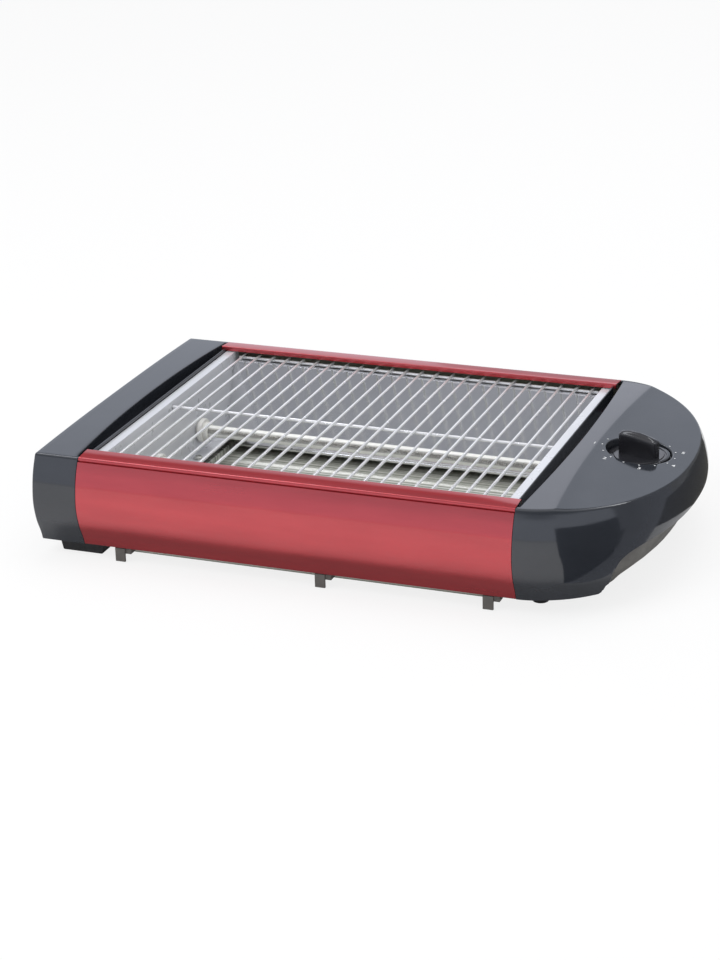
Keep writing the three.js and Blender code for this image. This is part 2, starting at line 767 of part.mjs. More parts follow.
// Reflectors: a shelf under the grill, a slope down to the tray, and a hem
function makeReflectors() {
  const shelfEdge = halfDepth - shelfInset;
  const foot = tubeOffset + reflectorFootGap;
  const footZ = trayTop + reflectorTrayGap + reflectorHem;
  const line = [[shelfEdge + shelfWidth, shelfZ], [shelfEdge, shelfZ], [foot, footZ], [foot, footZ - reflectorHem]];
  const sheet = prismX(sheetOutline(line, steelSheet), rimEnd, rightSeam - rimEnd);
  const beyond = beyondPlate().add(besidePlateFoot());
  const rear = cutBy(sheet, [beyond, carried(beyond, toRight)]);
  addPart('rear_reflector', rear, steel);
  addPart('front_reflector', carried(rear, toRear), steel);
}

// Long wires welded on three cross wires; the middle one is held in the end plates
function makeGrill() {
  const wireZ = topZ - wireDrop;
  const reach = halfDepth - wireTipInset;
  const wires = Array.from({ length: wireCount }, (_, i) => {
    const x = (leftSeam + rightSeam) / 2 + (i - (wireCount - 1) / 2) * wirePitch;
    return rod([x, -reach, wireZ], [x, reach, wireZ], wireDiameter, wireSides);
  });
  const crossWires = [-1, 0, 1].map((side) => {
    const y = side * (halfDepth - crossWireInset);
    const tip = side === 0 ? rimEnd - crossWireHoleReach : leftSeam + crossWireTipInset;
    return rod([tip, y, crossWireZ], [leftSeam + rightSeam - tip, y, crossWireZ], crossWireDiameter, wireSides);
  });
  addPart('wire_grill', joined([...wires, ...crossWires]), chrome);
}

// Ceramic holder of the front tube's left end: a neck through the end plate, a collar and a step
function ceramicHolder() {
  const at = (x) => [x, -tubeOffset, tubeZ];
  const neck = rod(at(neckEnd), at(holderFace + collarThickness / 2), ceramicNeck);
  const collar = rod(at(holderFace), at(holderFace + collarThickness), ceramicCollar);
  const step = rod(at(holderFace + collarThickness / 2), at(holderEnd), ceramicStep);
  const bore = rod(at(tubeEnd - tubeFit), at(holderEnd + cutOverrun), tubeDiameter + 2 * tubeFit);
  const pinHole = rod(at(neckEnd - cutOverrun), at(holderEnd), pinDiameter + 2 * tubeFit);
  return cutBy(joined([neck, collar, step]), [bore, pinHole]);
}

// Terminal of the front tube's left end: a pin through the holder with a plug inside the tube
function tubeTerminal() {
  const at = (x) => [x, -tubeOffset, tubeZ];
  const plug = rod(at(plugStart), at(plugEnd), tubeDiameter - 2 * tubeWall - 2 * tubeFit);
  return rod(at(pinEnd), at(plugEnd), pinDiameter).add(plug);
}

// One heater: a quartz tube with its coil inside, drawn as the coil's outer form
function makeHeater(name, side) {
  const span = (start, diameter) => rod([start, side * tubeOffset, tubeZ],
    [leftSeam + rightSeam - start, side * tubeOffset, tubeZ], diameter);
  const tube = span(tubeEnd, tubeDiameter).subtract(span(tubeEnd - cutOverrun, tubeDiameter - 2 * tubeWall));
  addPart(name + '_quartz_tube', tube, quartz);
  addPart(name + '_heating_coil', span(plugEnd + seatGap, coilDiameter), nickel);
  const place = side < 0 ? new THREE.Matrix4() : toRear;
  for (const [end, turn] of [['left', new THREE.Matrix4()], ['right', toRight]]) {
    const matrix = turn.clone().multiply(place);
    addPart(name + '_' + end + '_ceramic_holder', carried(ceramicHolder(), matrix), ceramic);
    addPart(name + '_' + end + '_tube_terminal', carried(tubeTerminal(), matrix), nickel);
  }
}

// Crumb tray: a shallow pan with side flanges and a ridged floor
function makeTray() {
  const rear = trayFront + trayLength;
  const left = trayLeft + trayFlange;
  const right = trayRight - trayFlange;
  const floorZ = trayBottom + traySheet;
  const pan = block(left, right, trayFront, rear, trayBottom, trayTop);
  const flanges = block(trayLeft, trayRight, trayFront, rear, trayTop - traySheet, trayTop);
  const hollow = block(left + traySheet, right - traySheet, trayFront + traySheet, rear - traySheet, floorZ,
    trayTop + cutOverrun);
  const ribPitch = (trayLength - 2 * trayRibMargin) / (trayRibCount - 1);
  const ribs = Array.from({ length: trayRibCount }, (_, i) => {
    const y = trayFront + trayRibMargin + i * ribPitch;
    const low = floorZ - traySheet / 2;
    const outline = [[y - trayRibWidth / 2, low], [y + trayRibWidth / 2, low], [y, floorZ + trayRibHeight]];
    return prismX(outline, left + trayRibMargin, right - trayRibMargin);
  });
  addPart('crumb_tray', joined([pan.add(flanges).subtract(hollow), ...ribs]), steel);
}

// Grip tabs that hang from the tray's front below the panel
function makeTabs() {
  const face = -halfDepth + tabInset;
  const top = bottomZ - tabTopGap;
  const back = trayFront - seatGap;
  tabPlaceShares.forEach((share, i) => {
    const x = trayLeft + (trayRight - trayLeft) * share;
    const blade = block(x, x + tabWidth, face, face + tabSheet, tabFloorGap, top);
    const arm = block(x, x + tabWidth + tabRibWidth, face + tabSheet / 2, back, trayTop - tabRibHeight, trayTop);
    const beside = x + tabWidth;
    const clear = block(beside, beside + tabRibWidth + cutOverrun, face, face + tabSheet, tabFloorGap, top);
    addPart('tray_tab_' + (i + 1), blade.add(arm.subtract(clear)), greyPlastic);
  });
}

// Side rails of the tray: a flange under the base cover, a web, and a ledge under the tray's flange
function makeRails() {
  const web = trayLeft - railGap - railSheet;
  const ledgeTop = trayTop - traySheet - seatGap;
  const flangeTop = bottomZ - seatGap;
  const bar = (x0, x1, z0, z1) => block(x0, x1, -railEnd, railEnd, z0, z1);
  const rail = joined([
    bar(web, trayLeft + trayFlange - railGap, ledgeTop - railSheet, ledgeTop),
    bar(web, web + railSheet, ledgeTop - railSheet, flangeTop),
    bar(web - railFlange, web + railSheet, flangeTop - railSheet, flangeTop),
  ]);
  const bores = [-railScrewY, railScrewY].map((y) => screwBore(railScrewX, y, flangeTop, seatGap));
  const left = cutBy(rail, bores);
  addPart('tray_rail_left', left, steel);
  addPart('tray_rail_right', carried(left, toRight), steel);
}

function makeFeet() {
  const seat = bottomZ - seatGap;
  const longFoot = [
    [longFootMiddle - longFootTop / 2, seat],
    [longFootMiddle - longFootBottom / 2, 0],
    [longFootMiddle + longFootBottom / 2, 0],
    [longFootMiddle + longFootTop / 2, seat],
  ];
  const front = -halfDepth + longFootInset;
  const long = prismY(longFoot, front, front + longFootDepth);
  const at = (z) => [rightSeam + roundFootX, -halfDepth + roundFootInset, z];
  const round = rod(at(0), at(seat), roundFootDiameter);
  addPart('left_front_foot', long, rubber);
  addPart('left_rear_foot', carried(long, toRear), rubber);
  addPart('right_front_foot', round, rubber);
  addPart('right_rear_foot', carried(round, toRear), rubber);
}

// Timer under the knob: mounting plate, body and shaft
function makeTimer() {
  const shaftHole = (bottom) => rod([knobAt, 0, bottom], [knobAt, 0, plateTop + cutOverrun], shaftBore);
  const reach = timerScrewReach + timerBoss / 2;
  const sides = [knobAt - timerWidth / 2, knobAt + timerWidth / 2];
  const plate = block(...sides, -reach, reach, plateTop - timerPlate, plateTop);
  const holes = [-timerScrewReach, timerScrewReach].map((y) => screwBore(knobAt, y, plateTop, seatGap));
  addPart('timer_plate', cutBy(plate, [shaftHole(timerTop), ...holes]), steel);
  const body = block(...sides, -timerDepth / 2, timerDepth / 2, timerTop - timerHeight, timerTop);
  addPart('timer_body', body.subtract(shaftHole(timerTop - shaftSeat - seatGap)), greyPlastic);
  const shaft = rod([knobAt, 0, timerTop - shaftSeat], [knobAt, 0, knobBoreTop - shaftGap], shaftDiameter);
  addPart('timer_shaft', shaft, steel);
}

const discTop = roofZ - knobDiscDrop;
const knobBoreTop = discTop - knobDisc + knobBoreDepth;

// Timer knob: a disc in the recess and a grip across it, highest near its middle
function makeKnob() {
  const disc = rod([0, 0, discTop - knobDisc], [0, 0, discTop], knobDiameter, knobSides);
  const crest = finTopShares.map(([along, up]) => [(along * finLength) / 2, discTop + finHeight * up]);
  const foot = [[finLength / 2, discTop - knobDisc / 2], [-finLength / 2, discTop - knobDisc / 2]];
  const fin = prismY([...crest, ...foot], -finWidth / 2, finWidth / 2);
  const bore = rod([0, 0, discTop - knobDisc - cutOverrun], [0, 0, knobBoreTop], shaftBore);
  const turn = new THREE.Matrix4().makeRotationZ(THREE.MathUtils.degToRad(finAngle)).setPosition(knobAt, 0, 0);
  addPart('timer_knob', carried(disc.add(fin).subtract(bore), turn), blackPlastic);
}

// Heat shield and terminal block in the right housing
function makeShield() {
  const x = rightSeam + shieldInset;
  const top = topZ - slotDepth - slotWall - shieldTopGap;
  const sheet = block(x, x + shieldSheet, -shieldHalfWidth, shieldHalfWidth, baseTop + seatGap, top);
  const holes = [-tubeOffset, tubeOffset].map((y) =>
    rod([x - cutOverrun, y, tubeZ], [x + cutOverrun, y, tubeZ], shieldHole));
  addPart('heat_shield', cutBy(sheet, holes), steel);
}

const blockTop = baseTop + seatGap + blockHeight;
const blockMiddle = rightSeam + blockX;
const blockY = -halfDepth + blockInset;

function makeTerminalBlock() {
  const sides = [blockMiddle - blockWidth / 2, blockMiddle + blockWidth / 2];
  const ends = [blockY - blockLength / 2, blockY + blockLength / 2];
  addPart('terminal_block', block(...sides, ...ends, baseTop + seatGap, blockTop), ceramic);
}

// Leads between the heaters, the timer and the terminal block
function makeLeads() {
  const outward = unitX.clone().negate();
  const down = unitZ.clone().negate();
  const leftEndOf = (y) => [pinEnd - seatGap, y, tubeZ];
  const rightEndOf = (y) => [leftSeam + rightSeam - pinEnd + seatGap, y, tubeZ];
  const blockEnd = (i) => [blockMiddle - i * blockRow, blockY + i * blockPitch, blockTop + seatGap];
  const timerFoot = (y) => [knobAt - timerLeadX, y, timerTop - timerHeight - seatGap];
  addPart('left_link_lead', lead(leftEndOf(-tubeOffset), outward, leftEndOf(tubeOffset), unitX), leadJacket);
  addPart('front_heater_lead', lead(rightEndOf(-tubeOffset), unitX, blockEnd(1), down), leadJacket);
  addPart('rear_heater_lead', lead(rightEndOf(tubeOffset), unitX, timerFoot(timerLeadY), unitZ), leadJacket);
  addPart('timer_lead', lead(timerFoot(-timerLeadY), down, blockEnd(-1), down), leadJacket);
}

function makeGland() {
  const flangeBack = glandSeat + seatGap;
  const flangeFront = flangeBack + glandFlangeThickness;
  const inner = glandSeat - glandPadDepth - glandTail;
  const flange = rod(glandAt(flangeBack), glandAt(flangeFront), glandFlange);
  const neck = rod(glandAt(inner), glandAt(flangeFront + glandNipple), glandNeck);
  const bore = rod(glandAt(inner - cutOverrun), glandAt(flangeFront + glandNipple + cutOverrun), glandBore);
  addPart('cord_gland', flange.add(neck).subtract(bore), blackPlastic);
}

// A screw along Z: the seat is where its head rests, and the shank runs up or down from there
function screw(x, y, seat, length, up) {
  const way = up ? 1 : -1;
  const head = rod([x, y, seat - way * screwHeadHeight], [x, y, seat], screwHead, screwSides);
  const shank = rod([x, y, seat - (way * screwHeadHeight) / 2], [x, y, seat + way * length], screwShank, screwSides);
  return head.add(shank);
}

function makeScrews() {
  const coverSeat = bottomZ - seatGap;
  const railSeat = bottomZ - seatGap - railSheet - seatGap;
  const covers = [leftBossX, rightSeam + rightBossX].flatMap((x) =>
    [-bossY, bossY].map((y) => screw(x, y, coverSeat, screwLength, true)));
  const rails = [railScrewX, leftSeam + rightSeam - railScrewX].flatMap((x) =>
    [-railScrewY, railScrewY].map((y) => screw(x, y, railSeat, railScrewLength, true)));
  const plates = [plateScrewX, leftSeam + rightSeam - plateScrewX].map((x) =>
    screw(x, plateScrewY, plateFootZ + seatGap, plateScrewLength, false));
  const timer = [-timerScrewReach, timerScrewReach].map((y) =>
    screw(knobAt, y, plateTop - timerPlate - seatGap, timerScrewLength, true));
  const sets = { base_cover_screw: covers, rail_screw: rails, end_plate_screw: plates, timer_screw: timer };
  for (const [name, screws] of Object.entries(sets)) {
    screws.forEach((body, i) => addPart(name + '_' + (i + 1), body, steel));
  }
}

makePanels();
makeLeftCap();
makeRightHousing();
makeLeftBase();
makeRightBase();
makeEndPlates();
makeReflectors();
makeGrill();
makeHeater('front', -1);
makeHeater('rear', 1);
makeTray();
makeTabs();
makeRails();
makeFeet();
makeTimer();
makeKnob();
makeShield();
makeTerminalBlock();
makeLeads();
makeGland();
makeScrews();

export default toaster;
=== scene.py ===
from math import asin, atan2, copysign, cos, hypot, pi, radians, sin

import bmesh
import bpy
from mathutils import Matrix, Vector


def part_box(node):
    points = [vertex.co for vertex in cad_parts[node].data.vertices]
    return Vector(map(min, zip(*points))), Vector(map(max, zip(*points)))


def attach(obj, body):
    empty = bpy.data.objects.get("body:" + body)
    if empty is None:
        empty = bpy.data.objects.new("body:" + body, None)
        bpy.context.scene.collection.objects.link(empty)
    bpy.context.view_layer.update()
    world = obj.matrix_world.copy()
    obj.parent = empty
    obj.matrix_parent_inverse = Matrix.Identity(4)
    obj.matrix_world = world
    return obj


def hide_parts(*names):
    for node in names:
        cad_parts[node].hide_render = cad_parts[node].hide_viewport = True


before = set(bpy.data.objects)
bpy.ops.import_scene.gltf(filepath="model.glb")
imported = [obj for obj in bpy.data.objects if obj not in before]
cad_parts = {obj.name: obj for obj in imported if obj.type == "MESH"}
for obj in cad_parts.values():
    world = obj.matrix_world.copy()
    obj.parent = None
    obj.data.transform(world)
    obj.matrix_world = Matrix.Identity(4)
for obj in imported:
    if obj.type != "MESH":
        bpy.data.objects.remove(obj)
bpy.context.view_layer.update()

MM = 0.001


def span(node, axis):
    """Lowest and highest place of a CAD node along an axis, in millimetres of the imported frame."""
    low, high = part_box(node)
    return low[axis] / MM, high[axis] / MM


# Places read from the frame
SEAM_GAP = 0.3
LEFT_SEAM_AT = span("front_panel", 0)[0] - SEAM_GAP
RIGHT_SEAM = span("front_panel", 0)[1] + SEAM_GAP - LEFT_SEAM_AT
STAND = span("front_panel", 2)[0]
CAP_WIDTH = LEFT_SEAM_AT - span("left_end_cap", 0)[0]
PANEL_BULGE = 7.5
HALF_DEPTH = span("rear_panel", 1)[1] - PANEL_BULGE
FLANGE_RISE = 1.2
TOP = span("front_panel", 2)[1] - FLANGE_RISE
PANEL_HEIGHT = TOP - STAND


def extent(node):
    """Lowest and highest place of a CAD node along X, from the left seam, and along Y and Z."""
    (x_low, x_high), y_range, z_range = (span(node, axis) for axis in range(3))
    return (x_low - LEFT_SEAM_AT, x_high - LEFT_SEAM_AT), y_range, z_range


def centre(node):
    return [(low + high) / 2 for low, high in extent(node)]


KNOB_X = centre("timer_shaft")[0]

# Outer skin
TIP_BULGE = 4.1
SHEET = 0.7
WALL = 2.2
CROWN = 1.5
CROWN_POWER = 2.5
FLANGE_WIDTH = 13
FLANGE_HEM = 3
BOTTOM_HEM = 6
# How far the panels and the tip stand out, at shares of their height from the top
PANEL_SHARES = [(0, 0), (0.16, 0.55), (0.32, 0.87), (0.53, 1), (0.74, 0.67), (0.92, 0.05), (1, -0.15)]
TIP_SHARES = [(0, 0), (0.105, 0.6), (0.316, 1), (0.44, 0.78), (0.6, 0.1), (1, -1.5)]
CAP_REACH = span("right_housing", 0)[1] - LEFT_SEAM_AT - RIGHT_SEAM - TIP_BULGE
END_POWER = 1.86
SIDE_POWER = 2.14
TIP_BLEND_POWER = 5
TIP_DROP = 5.8
DROP_POWER = 0.8
CREASE_INSET = 16.5
CREASE_BOW = 5.5
CREASE_SOFTNESS = 1.5
ARCH_HALF_WIDTH = 92
ARCH_RISE = 28
ARCH_POWER = 6.5
ARCH_START = 34
SLOT_BOW = 6.3
SLOT_END_WIDTH = 1.6
SLOT_END_INSET = 3
SLOT_END = HALF_DEPTH - SLOT_END_INSET
SLOT_DEPTH = 9
SLOT_WALL = 1.6
LIP_INSET = 3.1
LIP_WALL = 1.1
LIP_DROP = 0.4
LIP_EDGE = 0.3
RECESS_RADIUS = 20
RECESS_DEPTH = 5.5


def sign(value):
    return copysign(1, value) if value else 0


def steps(count):
    return [i / count for i in range(count + 1)]


def smooth_curve(points):
    """A smooth line through rising points, as a function."""
    slopes = []
    for i in range(len(points)):
        before, after = points[max(i - 1, 0)], points[min(i + 1, len(points) - 1)]
        slopes.append((after[1] - before[1]) / (after[0] - before[0]))

    def at(value):
        value = min(max(value, points[0][0]), points[-1][0])
        i = 0
        while i < len(points) - 2 and value > points[i + 1][0]:
            i += 1
        run = points[i + 1][0] - points[i][0]
        t = (value - points[i][0]) / run
        start = points[i][1] * (1 + 2 * t) * (1 - t) ** 2 + slopes[i] * run * t * (1 - t) ** 2
        return start + points[i + 1][1] * t * t * (3 - 2 * t) - slopes[i + 1] * run * t * t * (1 - t)

    return at


panel_curve = smooth_curve(PANEL_SHARES)
tip_curve = smooth_curve(TIP_SHARES)


def panel_offset(share):
    return PANEL_BULGE * panel_curve(share)


def crown_at(y):
    return CROWN * (1 - min(abs(y) / HALF_DEPTH, 1) ** CROWN_POWER)


def slot_reach(y):
    return SLOT_END_WIDTH + (SLOT_BOW - SLOT_END_WIDTH) * (1 - (y / SLOT_END) ** 2)


# Meshes
SMOOTH_ANGLE = 32
MERGE_WITHIN = 0.002
SLIVER = 0.001
TIP_TURNS = (0.35, 0.8, 1.2)
ROUND_SIDES = 48


def linked(name, data):
    """A new object in the scene."""
    made = bpy.data.objects.new(name, data)
    bpy.context.scene.collection.objects.link(made)
    return made


def new_object(name, mesh, material, body="housing"):
    """A new piece that moves with its body."""
    piece = linked(name, mesh)
    mesh.materials.clear()
    mesh.materials.append(material)
    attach(piece, body)
    return piece


def shade(mesh, angle=SMOOTH_ANGLE):
    mesh.shade_smooth()
    mesh.set_sharp_from_angle(angle=radians(angle))


def mesh_of(name, points, faces, angle=SMOOTH_ANGLE):
    """A mesh in metres of the frame, from points in millimetres measured from the left seam."""
    mesh = bpy.data.meshes.new(name)
    mesh.from_pydata([((x + LEFT_SEAM_AT) * MM, y * MM, z * MM) for x, y, z in points], [], faces)
    work = bmesh.new()
    work.from_mesh(mesh)
    bmesh.ops.remove_doubles(work, verts=work.verts, dist=MERGE_WITHIN * MM)
    bmesh.ops.dissolve_degenerate(work, edges=work.edges, dist=SLIVER * MM)
    bmesh.ops.recalc_face_normals(work, faces=work.faces)
    work.to_mesh(mesh)
    work.free()
    shade(mesh, angle)
    return mesh


class Soup:
    """Points and faces of one piece, gathered from grids, tubes and lathes."""

    def __init__(self):
        self.points = []
        self.faces = []

    def add(self, points, faces):
        base = len(self.points)
        self.points.extend(tuple(point) for point in points)
        self.faces.extend(tuple(base + k for k in face) for face in faces)

    def grid(self, rows, loop_rows=False, loop_cols=False, keep=None):
        """Skins a table of points; every row has as many points."""
        count = len(rows[0])
        faces = []
        for i in range(len(rows) if loop_rows else len(rows) - 1):
            for j in range(count if loop_cols else count - 1):
                if not keep or keep(i, j):
                    this, other = i * count, (i + 1) % len(rows) * count
                    faces.append((this + j, this + (j + 1) % count, other + (j + 1) % count, other + j))
        self.add([point for row in rows for point in row], faces)

    def cap(self, ring):
        self.add(ring, [range(len(ring))])

    def bar(self, rings):
        """Skins closed rings one after another and closes both ends."""
        self.grid(rings, loop_cols=True)
        self.cap(rings[0])
        self.cap(rings[-1])

    def tube(self, start, end, radius, sides, tip):
        """A round bar; tip is the height of its rounded ends."""
        start, end = Vector(start), Vector(end)
        way = (end - start).normalized()
        side = way.orthogonal().normalized()
        other = way.cross(side)
        stations = [(start + way * tip * (1 - cos(a)), sin(a)) for a in TIP_TURNS]
        stations += [(start + way * tip, 1), (end - way * tip, 1)]
        stations += [(end - way * tip * (1 - cos(a)), sin(a)) for a in TIP_TURNS[::-1]]
        self.bar([[place + (side * cos(t) + other * sin(t)) * radius * share for t in turns(sides)]
                  for place, share in stations])

    def lathe(self, profile, sides, place):
        """Turns a profile of (radius, height) pairs; place(radius vector, height) gives the point."""
        rows = [[place(r * cos(t), r * sin(t), h) for t in turns(sides)] for r, h in profile]
        self.grid(rows, loop_cols=True)
        if profile[0][0] > 0:
            self.cap(rows[0])
        if profile[-1][0] > 0:
            self.cap(rows[-1])

    def piece(self, name, material, body="housing", slot=None, angle=SMOOTH_ANGLE, stands_for=()):
        piece = new_object(name, mesh_of(name, self.points, self.faces, angle), material, body)
        if stands_for:
            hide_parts(*stands_for)
        return piece


def turns(sides):
    return [2 * pi * i / sides for i in range(sides)]


def thicken(piece, thickness):
    """Gives a thin sheet its thickness, on its inner side."""
    solidify = piece.modifiers.new("sheet", "SOLIDIFY")
    solidify.thickness = thickness * MM
    solidify.offset = -1


def bend(start, corner, end, count):
    """Points of a curve that is drawn toward its corner."""
    return [start * (1 - t) ** 2 + corner * 2 * t * (1 - t) + end * t * t for t in steps(count)]


def rounded(before, corner, after, radius, count=4):
    """Points of a rounded corner between two straight runs."""
    corner = Vector(corner)
    start = corner + (Vector(before) - corner).normalized() * radius
    end = corner + (Vector(after) - corner).normalized() * radius
    return [tuple(point) for point in bend(start, corner, end, count)]


# Materials
NOISE_LOW = 0.3
NOISE_HIGH = 0.7
GLASS_EDGE = (0.06, 0.24)
GLASS_CLARITY = (0.93, 0.06)


def new_material(name):
    """A material with its nodes and their links."""
    material = bpy.data.materials.new(name)
    material.use_nodes = True
    return material, material.node_tree.nodes, material.node_tree.links


def set_inputs(node, **values):
    for key, value in values.items():
        node.inputs[key.replace("_", " ").title().replace("Ior", "IOR")].default_value = value
    return node


def map_range(nodes, links, value, given, wanted):
    """A value taken from one range to another."""
    node = set_inputs(nodes.new("ShaderNodeMapRange"), from_min=given[0], from_max=given[1],
                      to_min=wanted[0], to_max=wanted[1])
    links.new(value, node.inputs["Value"])
    return node.outputs["Result"]


class Finish:
    """A material whose colour, roughness and relief follow noises, each given as (scale, detail, stretch)."""

    def __init__(self, name, **settings):
        self.material, self.nodes, self.links = new_material(name)
        self.shader = set_inputs(self.nodes["Principled BSDF"], **settings)
        self.place = self.nodes.new("ShaderNodeTexCoord").outputs["Object"]

    def noise(self, scale, detail, stretch=(1, 1, 1)):
        mapping = set_inputs(self.nodes.new("ShaderNodeMapping"), scale=stretch)
        self.links.new(self.place, mapping.inputs["Vector"])
        noise = set_inputs(self.nodes.new("ShaderNodeTexNoise"), scale=scale, detail=detail)
        self.links.new(mapping.outputs["Vector"], noise.inputs["Vector"])
        return noise.outputs["Fac"]

    def tint(self, noise, first, second, low=NOISE_LOW, high=NOISE_HIGH):
        ramp = self.nodes.new("ShaderNodeValToRGB")
        for element, place, color in zip(ramp.color_ramp.elements, (low, high), (first, second)):
            element.position = place
            element.color = (*color, 1)
        self.links.new(self.noise(*noise), ramp.inputs["Fac"])
        self.links.new(ramp.outputs["Color"], self.shader.inputs["Base Color"])
        return self

    def rough(self, noise, low, high):
        value = map_range(self.nodes, self.links, self.noise(*noise), (NOISE_LOW, NOISE_HIGH), (low, high))
        self.links.new(value, self.shader.inputs["Roughness"])
        return self

    def bump(self, noise, strength, distance):
        node = set_inputs(self.nodes.new("ShaderNodeBump"), strength=strength, distance=distance * MM)
        self.links.new(self.noise(*noise), node.inputs["Height"])
        self.links.new(node.outputs["Normal"], self.shader.inputs["Normal"])
        return self


def black_shell():
    made = Finish("gloss_black_plastic", ior=1.65)
    made.tint((35, 3), (0.021, 0.024, 0.03), (0.026, 0.029, 0.036))
    made.rough((60, 4), 0.07, 0.13)
    return made.bump((900, 2), 0.04, 0.04).material


def knob_black():
    made = Finish("knob_black_plastic", ior=1.5)
    made.tint((50, 3), (0.013, 0.013, 0.016), (0.02, 0.02, 0.023))
    made.rough((90, 4), 0.12, 0.2)
    return made.bump((1500, 2), 0.05, 0.04).material


def grey_base():
    made = Finish("matte_grey_plastic", ior=1.46)
    made.tint((70, 4), (0.1, 0.095, 0.088), (0.14, 0.134, 0.122))
    made.rough((200, 3), 0.46, 0.62)
    return made.bump((3500, 3), 0.25, 0.08).material


def red_panel():
    made = Finish("red_metallic_lacquer", metallic=0.85, coat_weight=1.0, coat_roughness=0.08, coat_ior=1.6,
                  specular_tint=(0.85, 0.12, 0.14, 1))
    made.tint((18, 3, (1, 6, 6)), (0.47, 0.036, 0.046), (0.53, 0.046, 0.056))
    made.rough((8, 4, (1, 20, 20)), 0.27, 0.33)
    return made.bump((5000, 2), 0.06, 0.03).material


def bare_lining():
    made = Finish("bare_sheet_lining", metallic=0.5)
    made.tint((30, 4), (0.38, 0.38, 0.31), (0.46, 0.46, 0.39))
    return made.rough((60, 3), 0.42, 0.58).material


def tray_sheet():
    made = Finish("tray_sheet_painted_streaks", metallic=0.45)
    # The pale and dark stripes along the tray's length are painted reflection streaks, not the sheet's own
    # colour
    made.tint((9, 5, (0.12, 55, 1)), (0.24, 0.26, 0.2), (0.9, 0.9, 0.84), 0.36, 0.62)
    made.rough((20, 4, (0.2, 20, 1)), 0.3, 0.5)
    return made.bump((60, 5, (0.5, 14, 1)), 0.05, 0.06).material


def satin_sheet():
    made = Finish("satin_steel_sheet", metallic=0.3)
    made.tint((14, 4, (8, 1, 1)), (0.65, 0.66, 0.69), (0.71, 0.72, 0.75))
    made.rough((40, 4), 0.24, 0.36)
    return made.bump((200, 4, (6, 1, 1)), 0.05, 0.05).material


def bright_sheet():
    made = Finish("bright_steel_sheet", metallic=1)
    made.tint((12, 4), (0.76, 0.76, 0.77), (0.84, 0.84, 0.85))
    made.rough((30, 5), 0.08, 0.16)
    return made.bump((60, 5, (1, 14, 14)), 0.06, 0.08).material


def chromed_wire():
    made = Finish("chromed_wire", metallic=0.55)
    made.tint((120, 3), (0.87, 0.87, 0.88), (0.95, 0.95, 0.96))
    made.rough((300, 3), 0.16, 0.28)
    return made.bump((1800, 2), 0.1, 0.03).material


def white_ceramic():
    made = Finish("white_steatite", ior=1.6)
    made.tint((160, 4), (0.8, 0.785, 0.74), (0.89, 0.88, 0.85))
    made.rough((400, 3), 0.34, 0.52)
    return made.bump((1600, 4), 0.3, 0.1).material


def milky_quartz():
    made = Finish("milky_quartz_glass", ior=1.46)
    edge = made.nodes.new("ShaderNodeLayerWeight").outputs["Facing"]
    clarity = map_range(made.nodes, made.links, edge, GLASS_EDGE, GLASS_CLARITY)
    made.links.new(clarity, made.shader.inputs["Transmission Weight"])
    made.tint((25, 4, (1, 8, 8)), (0.92, 0.92, 0.88), (0.98, 0.98, 0.96))
    made.rough((80, 3), 0.04, 0.09)
    return made.bump((220, 3, (0.2, 1, 1)), 0.08, 0.06).material


def resistance_alloy():
    made = Finish("oxidised_alloy", metallic=0.9)
    made.tint((300, 4), (0.2, 0.18, 0.16), (0.38, 0.36, 0.33))
    made.rough((500, 3), 0.32, 0.55)
    return made.bump((1500, 3), 0.2, 0.05).material


def zinc_screw():
    made = Finish("zinc_plating", metallic=1)
    made.tint((260, 4), (0.5, 0.5, 0.47), (0.68, 0.68, 0.66))
    made.rough((500, 3), 0.18, 0.36)
    return made.bump((2200, 3), 0.15, 0.04).material


def lead_sleeve():
    made = Finish("glass_fibre_sleeve")
    made.tint((900, 3), (0.36, 0.33, 0.26), (0.55, 0.52, 0.44))
    made.rough((900, 2), 0.7, 0.9)
    return made.bump((2600, 2), 0.5, 0.15).material


def foot_rubber():
    made = Finish("matte_black_rubber")
    made.tint((150, 4), (0.022, 0.022, 0.023), (0.04, 0.04, 0.042))
    made.rough((400, 3), 0.58, 0.8)
    return made.bump((2500, 3), 0.3, 0.08).material


def print_white():
    made = Finish("white_dial_print")
    made.tint((900, 3), (0.68, 0.69, 0.7), (0.82, 0.83, 0.84))
    return made.rough((900, 3), 0.34, 0.5).material


BLACK = black_shell()
KNOB = knob_black()
GREY = grey_base()
LINING = bare_lining()
TRAY = tray_sheet()
SATIN = satin_sheet()
RED = red_panel()
STEEL = bright_sheet()
CHROME = chromed_wire()
CERAMIC = white_ceramic()
QUARTZ = milky_quartz()
ALLOY = resistance_alloy()
ZINC = zinc_screw()
SLEEVE = lead_sleeve()
RUBBER = foot_rubber()
PRINT = print_white()


# Front and rear panels
FOLD_RADIUS = 1.1
GROOVE_TOP = 1.5
GROOVE_HEIGHT = 0.8
GROOVE_DEPTH = 0.45
HEM_RADIUS = 1.2
FACE_STEPS = 44


